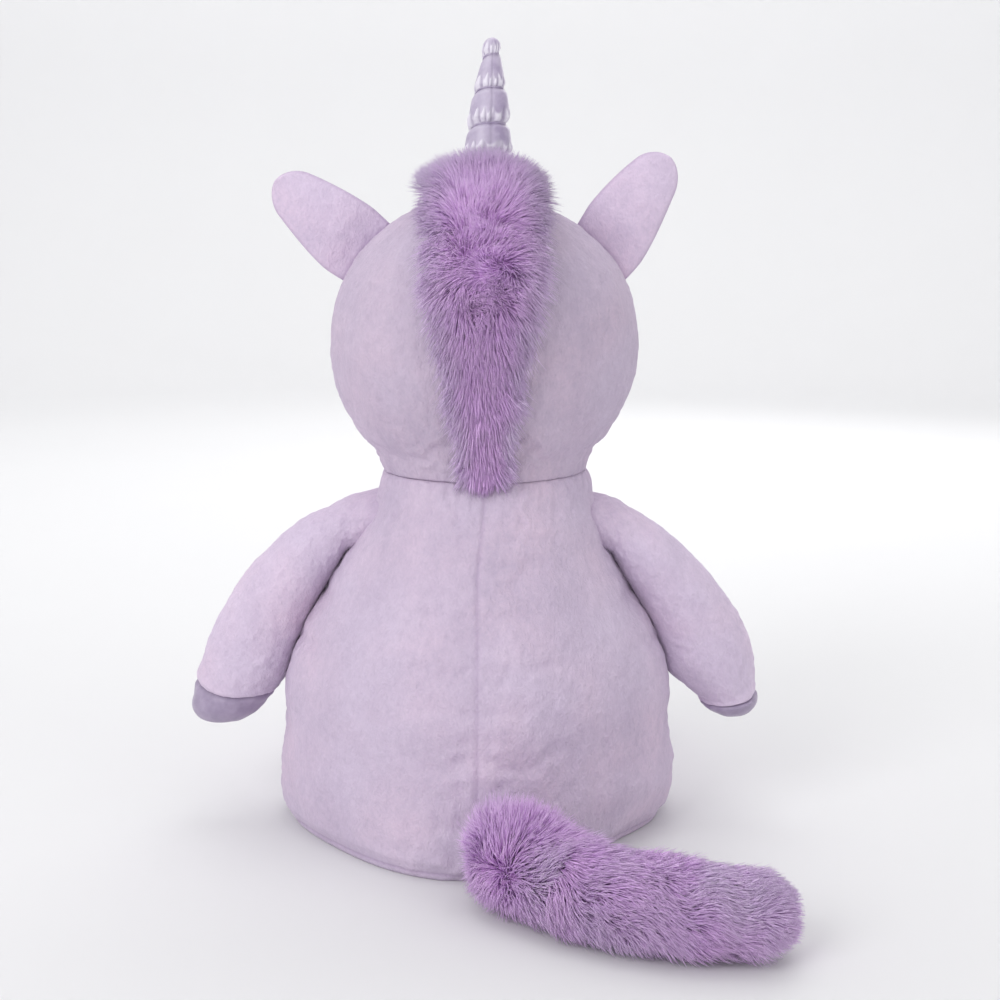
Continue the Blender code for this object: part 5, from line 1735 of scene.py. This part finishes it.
def sew_limb(names, surface, length, hoof_start, seed, rows, body, bend, puff):
    """A plush sleeve that rolls in over the satin hoof sewn into its end."""
    look = bpy.context.scene.unicorn_plush
    sleeve_node, hoof_node = names
    columns = 176
    u, t = np.meshgrid(rounds(columns), np.linspace(0.0, 1.0, rows))
    start = hoof_start(u)
    points = surface(u, start * t) + refine(puff, rows, columns)
    facing = grid_normals(points)
    edge = (1.0 - t) * start * length
    begin = t * start * length
    rolled = 1 - np.sqrt(1 - np.clip(1 - edge / 0.0016, 0, 1) ** 2)
    lip = 0.0007 * bell(edge - 0.0022, 0.0018) - 0.0022 * rolled
    lift = pile_relief(points, look.pile_depth * 0.9, seed) + lip
    points = points + facing * lift[..., None]
    # painted shade where the sleeve meets the body and under its rolled lip
    painted_crease_shade = np.clip(0.35 * bell(begin, 0.0030) + 0.5 * bell(edge, 0.0010), 0.0, 1.0)
    points[..., 2] = np.maximum(points[..., 2], 0.0003)
    # painted light: the arms and legs get a copy of the plush lightened by a gain of 1.07
    plush = plush_material("lilac plush with painted limb light", 1.07)
    sleeve = skin(f"{sleeve_node}_cloth", points, plush, None, None, {"painted_crease_shade": painted_crease_shade})
    finish(sleeve, body, (sleeve_node,), bend)

    u, t = np.meshgrid(rounds(120), np.sin(np.linspace(0.0, 1.0, 56) * math.pi / 2) * 0.985)
    start = hoof_start(u) - 0.0008 / length
    v = start + (0.9985 - start) * t
    points = surface(u, v)
    facing = grid_normals(points)
    edge = t * (1.0 - start) * length
    lift = -0.0016 * bell(edge, 0.0016) + 0.0006 * smoothstep(edge / 0.004) * smoothstep((1 - t) / 0.2)
    pulls = np.sin(u * 17 + 2 * soft_noise(points, 0.012, seed + 7)) * bell(edge - 0.0015, 0.003) * 0.00025
    lift = lift + pulls + 0.0004 * soft_noise(points, 0.011, seed + 8)
    lift = lift + 0.0002 * soft_noise(points, 0.004, seed + 9)
    points = points + facing * lift[..., None]
    points[..., 2] = np.maximum(points[..., 2], 0.0003)
    tip = surface(np.array(0.0), np.array(1.0)) * 0.5 + surface(np.array(math.pi), np.array(1.0)) * 0.5
    # painted shade where the hoof tucks in under the sleeve
    painted_crease_shade = np.clip(0.8 * bell(edge, 0.0012), 0.0, 1.0)
    hoof = skin(f"{hoof_node}_cloth", points, hoof_satin(), None, tip, {"painted_crease_shade": painted_crease_shade})
    finish(hoof, body[1], (hoof_node,))


class UNICORN_OT_arms(Operator):
    """Sew the arms onto the shoulders, each a stuffed sleeve with a satin hoof"""

    bl_idname = "unicorn.arms"
    bl_label = "Arms"

    def execute(self, context):
        for side, sign in SIDES.items():
            self.arm(side, sign)
        return {"FINISHED"}

    def edges(self, side, sign):
        """The arm by station: the middle and the half width of its section in the plane, its half depth, and
        the closing of its round end, which is a quarter ellipse past the last station."""
        table = np.array(ARM_EDGES[side])
        last = len(table) - 1
        outer, inner = table[:, :2].copy(), table[:, 2:].copy()
        level = np.stack([0.0 * inner[:, 0], 0.0 * inner[:, 0] + ARM_LEVEL, inner[:, 1]], axis=-1)
        beside = self.beside_body(level, sign, 0.0)[:, 0] * sign
        inner[:, 0] = np.where(np.arange(last + 1) <= 7, beside - 0.0013, inner[:, 0])
        outer[0, 0], inner[0, 0] = outer[0, 0] - 0.009, inner[0, 0] - 0.006
        stations = np.arange(last + 1)

        def read(values, s):
            columns = [through(tuple(zip(stations, column)), np.clip(s, 0, last)) for column in values.T]
            return np.stack(columns, axis=-1)

        def surface(u, v):
            s = v * (last + 2)
            past = np.clip((s - last) / 2.0, 0.0, 1.0)
            close = np.sqrt(np.maximum(1.0 - past**2, 0.0))
            middle = read((outer + inner) / 2, s) + np.array(ARM_TIPS[side]) * past[..., None]
            half = read((inner - outer) / 2, s) * close[..., None]
            depth = through(tuple(zip(stations, ARM_DEPTHS)), np.clip(s, 0, last)) * close
            inward = np.cos(u) * sign
            flat = middle + half * inward[..., None]
            y = ARM_LEVEL + depth * np.sin(u)
            return np.stack([sign * flat[..., 0], np.broadcast_to(y, flat.shape[:-1]), flat[..., 1]], axis=-1)

        return surface, last + 2

    def beside_body(self, points, sign, gap):
        """Keeps points outside the body, gap metres off it, at their own height and depth."""
        z = np.clip(before_rise(points[..., 2]), 0.0, NECK_LEVEL)
        share = through(BODY_SHAPE, z / NECK_LEVEL)
        behind = points[..., 1] > 0
        wide = NECK_RADIUS + (BODY_HALF_WIDTH - NECK_RADIUS) * share
        deep = NECK_RADIUS + (np.where(behind, BODY_BACK, BODY_BELLY) - NECK_RADIUS) * share
        level = np.sqrt(np.maximum(1.0 - (points[..., 1] / deep) ** 2, 0.0))
        u = np.arctan2(points[..., 1] / deep, level)
        drawn = 1.0 - np.where(behind, BACK_RIDGE * share, 0.0) * np.sin(2 * u) ** 2
        side = wide * level * drawn + gap + sign * body_aside(z)
        x = np.maximum(points[..., 0] * sign, side) * sign
        return np.stack([x, points[..., 1], points[..., 2]], axis=-1)

    def arm(self, side, sign):
        plain, stations = self.edges(side, sign)
        place, aside, behind = ARM_SEAMS[side]

        def surface(u, v):
            points = plain(u, v)
            gap = mix(-0.0024, -0.0002, smoothstep((v - 0.02) / 0.14))
            return self.beside_body(points, sign, np.broadcast_to(gap, points.shape[:-1]))

        def hoof_start(u):
            outward = -np.cos(u) * sign
            return (place + aside * outward + behind * np.sin(u)) / stations

        def sleeve(u, t):
            return surface(u, hoof_start(u) * t)

        def held(u, t):
            inner = bell(angle_gap(u, 0.0 if sign > 0 else math.pi), 0.9)
            return np.clip(bell(t, 0.06) + bell(1 - t, 0.04) + inner, 0.0, 1.0)

        puff = stuffed(sleeve, 48, np.linspace(0.0, 1.0, 42), held, 0.008, 0.0004)
        hinge = joint_place(f"arm_lift_{side}")
        bend = (hinge, hinge + np.array([sign * ARM_BEND, 0.0, 0.0]))
        names, bodies = (f"arm_sleeve_{side}", f"arm_hoof_{side}"), ("torso", f"arm_{side}")
        sew_limb(names, surface, ARM_LENGTH, hoof_start, 301 + int(sign), 150, bodies, bend, puff)
        u, v = np.meshgrid(rounds(64), np.linspace(0.10, 0.96, 60))
        inner = surface(u, v)
        middle = inner.mean(axis=1, keepdims=True)
        fill = skin(f"arm_fill_{side}", middle + (inner - middle) * 0.80, fill_material())
        finish(fill, bodies, (f"arm_stuffing_{side}",), bend)


class UNICORN_OT_legs(Operator):
    """Sew the legs onto the belly, lying forward on the floor, each with a satin hoof"""

    bl_idname = "unicorn.legs"
    bl_label = "Legs"

    def execute(self, context):
        for side, sign in SIDES.items():
            bearing = -LEG_BEARING if sign > 0 else math.pi + LEG_BEARING
            level = LEG_RADIUS + FLOOR_GAP
            hip = joint_place(f"leg_lift_{side}")
            step = 1e-3
            way = unit(
                np.cross(
                    body_surface(np.array(bearing + step), np.array(level))
                    - body_surface(np.array(bearing - step), np.array(level)),
                    UP,
                )
            )
            root = np.array([hip[0], hip[1], level])
            stops = (-0.002, LEG_LENGTH / 2, LEG_LENGTH)
            path, length = spline(np.array([root + way * stop for stop in stops]))
            size = limb_size(LEG_RADIUS * 0.93, LEG_RADIUS, 0.24, grow=0.5)

            def width(v, size=size):
                return size(v) * (1.0 + FOOT_FLARE * smoothstep(v / 0.8))

            surface = tube(path, width, size, UP)

            def hoof_start(u, length=length):
                return 1.0 - LEG_HOOF / length + 0.0 * u

            def sleeve(u, t, surface=surface, hoof_start=hoof_start):
                return surface(u, hoof_start(u) * t)

            def held(u, t):
                return np.clip(bell(t, 0.05) + bell(1 - t, 0.04) + bell(angle_gap(u, -BACK), 0.5), 0.0, 1.0)

            puff = stuffed(sleeve, 48, np.linspace(0.0, 1.0, 26), held, 0.030, 0.0012)
            names = (f"leg_sleeve_{side}", f"leg_hoof_{side}")
            bend = (path(0.0), path(0.16))
            body = ("torso", f"leg_{side}")
            sew_limb(names, surface, length, hoof_start, 321 + int(sign), 96, body, bend, puff)
        return {"FINISHED"}


# Inside


class UNICORN_OT_inside(Operator):
    """Give the stuffing, the pellet bag and the eyes' washers their materials"""

    bl_idname = "unicorn.inside"
    bl_label = "Inside"

    def execute(self, context):
        finishes = {
            "stuffing": fill_material(),
            "pellet_bag": fibre_material("pellet bag cloth", (0.72, 0.70, 0.68), 1100.0),
            "washer": fibre_material("washer plastic", (0.80, 0.80, 0.78), 300.0, 0.4),
        }
        for name, node in frame["nodes"].items():
            for word, material in finishes.items():
                if word in name:
                    node.data.materials.clear()
                    node.data.materials.append(material)
        return {"FINISHED"}


class UNICORN_PT_panel(Panel):
    """The toy's pieces, in the order they are sewn"""

    bl_idname = "UNICORN_PT_panel"
    bl_label = "Plush Unicorn"
    bl_space_type = "VIEW_3D"
    bl_region_type = "UI"
    bl_category = "Plush"

    def draw(self, context):
        for part in PIECES:
            self.layout.operator(part.bl_idname)
        for group, settings_class in SETTINGS.items():
            box = self.layout.box()
            for name in settings_class.__annotations__:
                box.prop(getattr(context.scene, group), name)


PIECES = (
    UNICORN_OT_stage,
    UNICORN_OT_body,
    UNICORN_OT_head,
    UNICORN_OT_face,
    UNICORN_OT_horn,
    UNICORN_OT_mane,
    UNICORN_OT_ears,
    UNICORN_OT_arms,
    UNICORN_OT_legs,
    UNICORN_OT_tail,
    UNICORN_OT_inside,
)
SETTINGS = {
    "unicorn_stage": StageSettings,
    "unicorn_plush": PlushSettings,
    "unicorn_face": FaceSettings,
    "unicorn_satin": SatinSettings,
    "unicorn_fur": FurSettings,
}


def register():
    for group, settings_class in SETTINGS.items():
        bpy.utils.register_class(settings_class)
        setattr(bpy.types.Scene, group, PointerProperty(type=settings_class))
    for part in (*PIECES, UNICORN_PT_panel):
        bpy.utils.register_class(part)


def unregister():
    for part in (*PIECES, UNICORN_PT_panel):
        bpy.utils.unregister_class(part)
    for group, settings_class in SETTINGS.items():
        delattr(bpy.types.Scene, group)
        bpy.utils.unregister_class(settings_class)


def main():
    register()
    for part in PIECES:
        family, name = part.bl_idname.split(".")
        getattr(getattr(bpy.ops, family), name)()


if __name__ == "__main__":
    main()
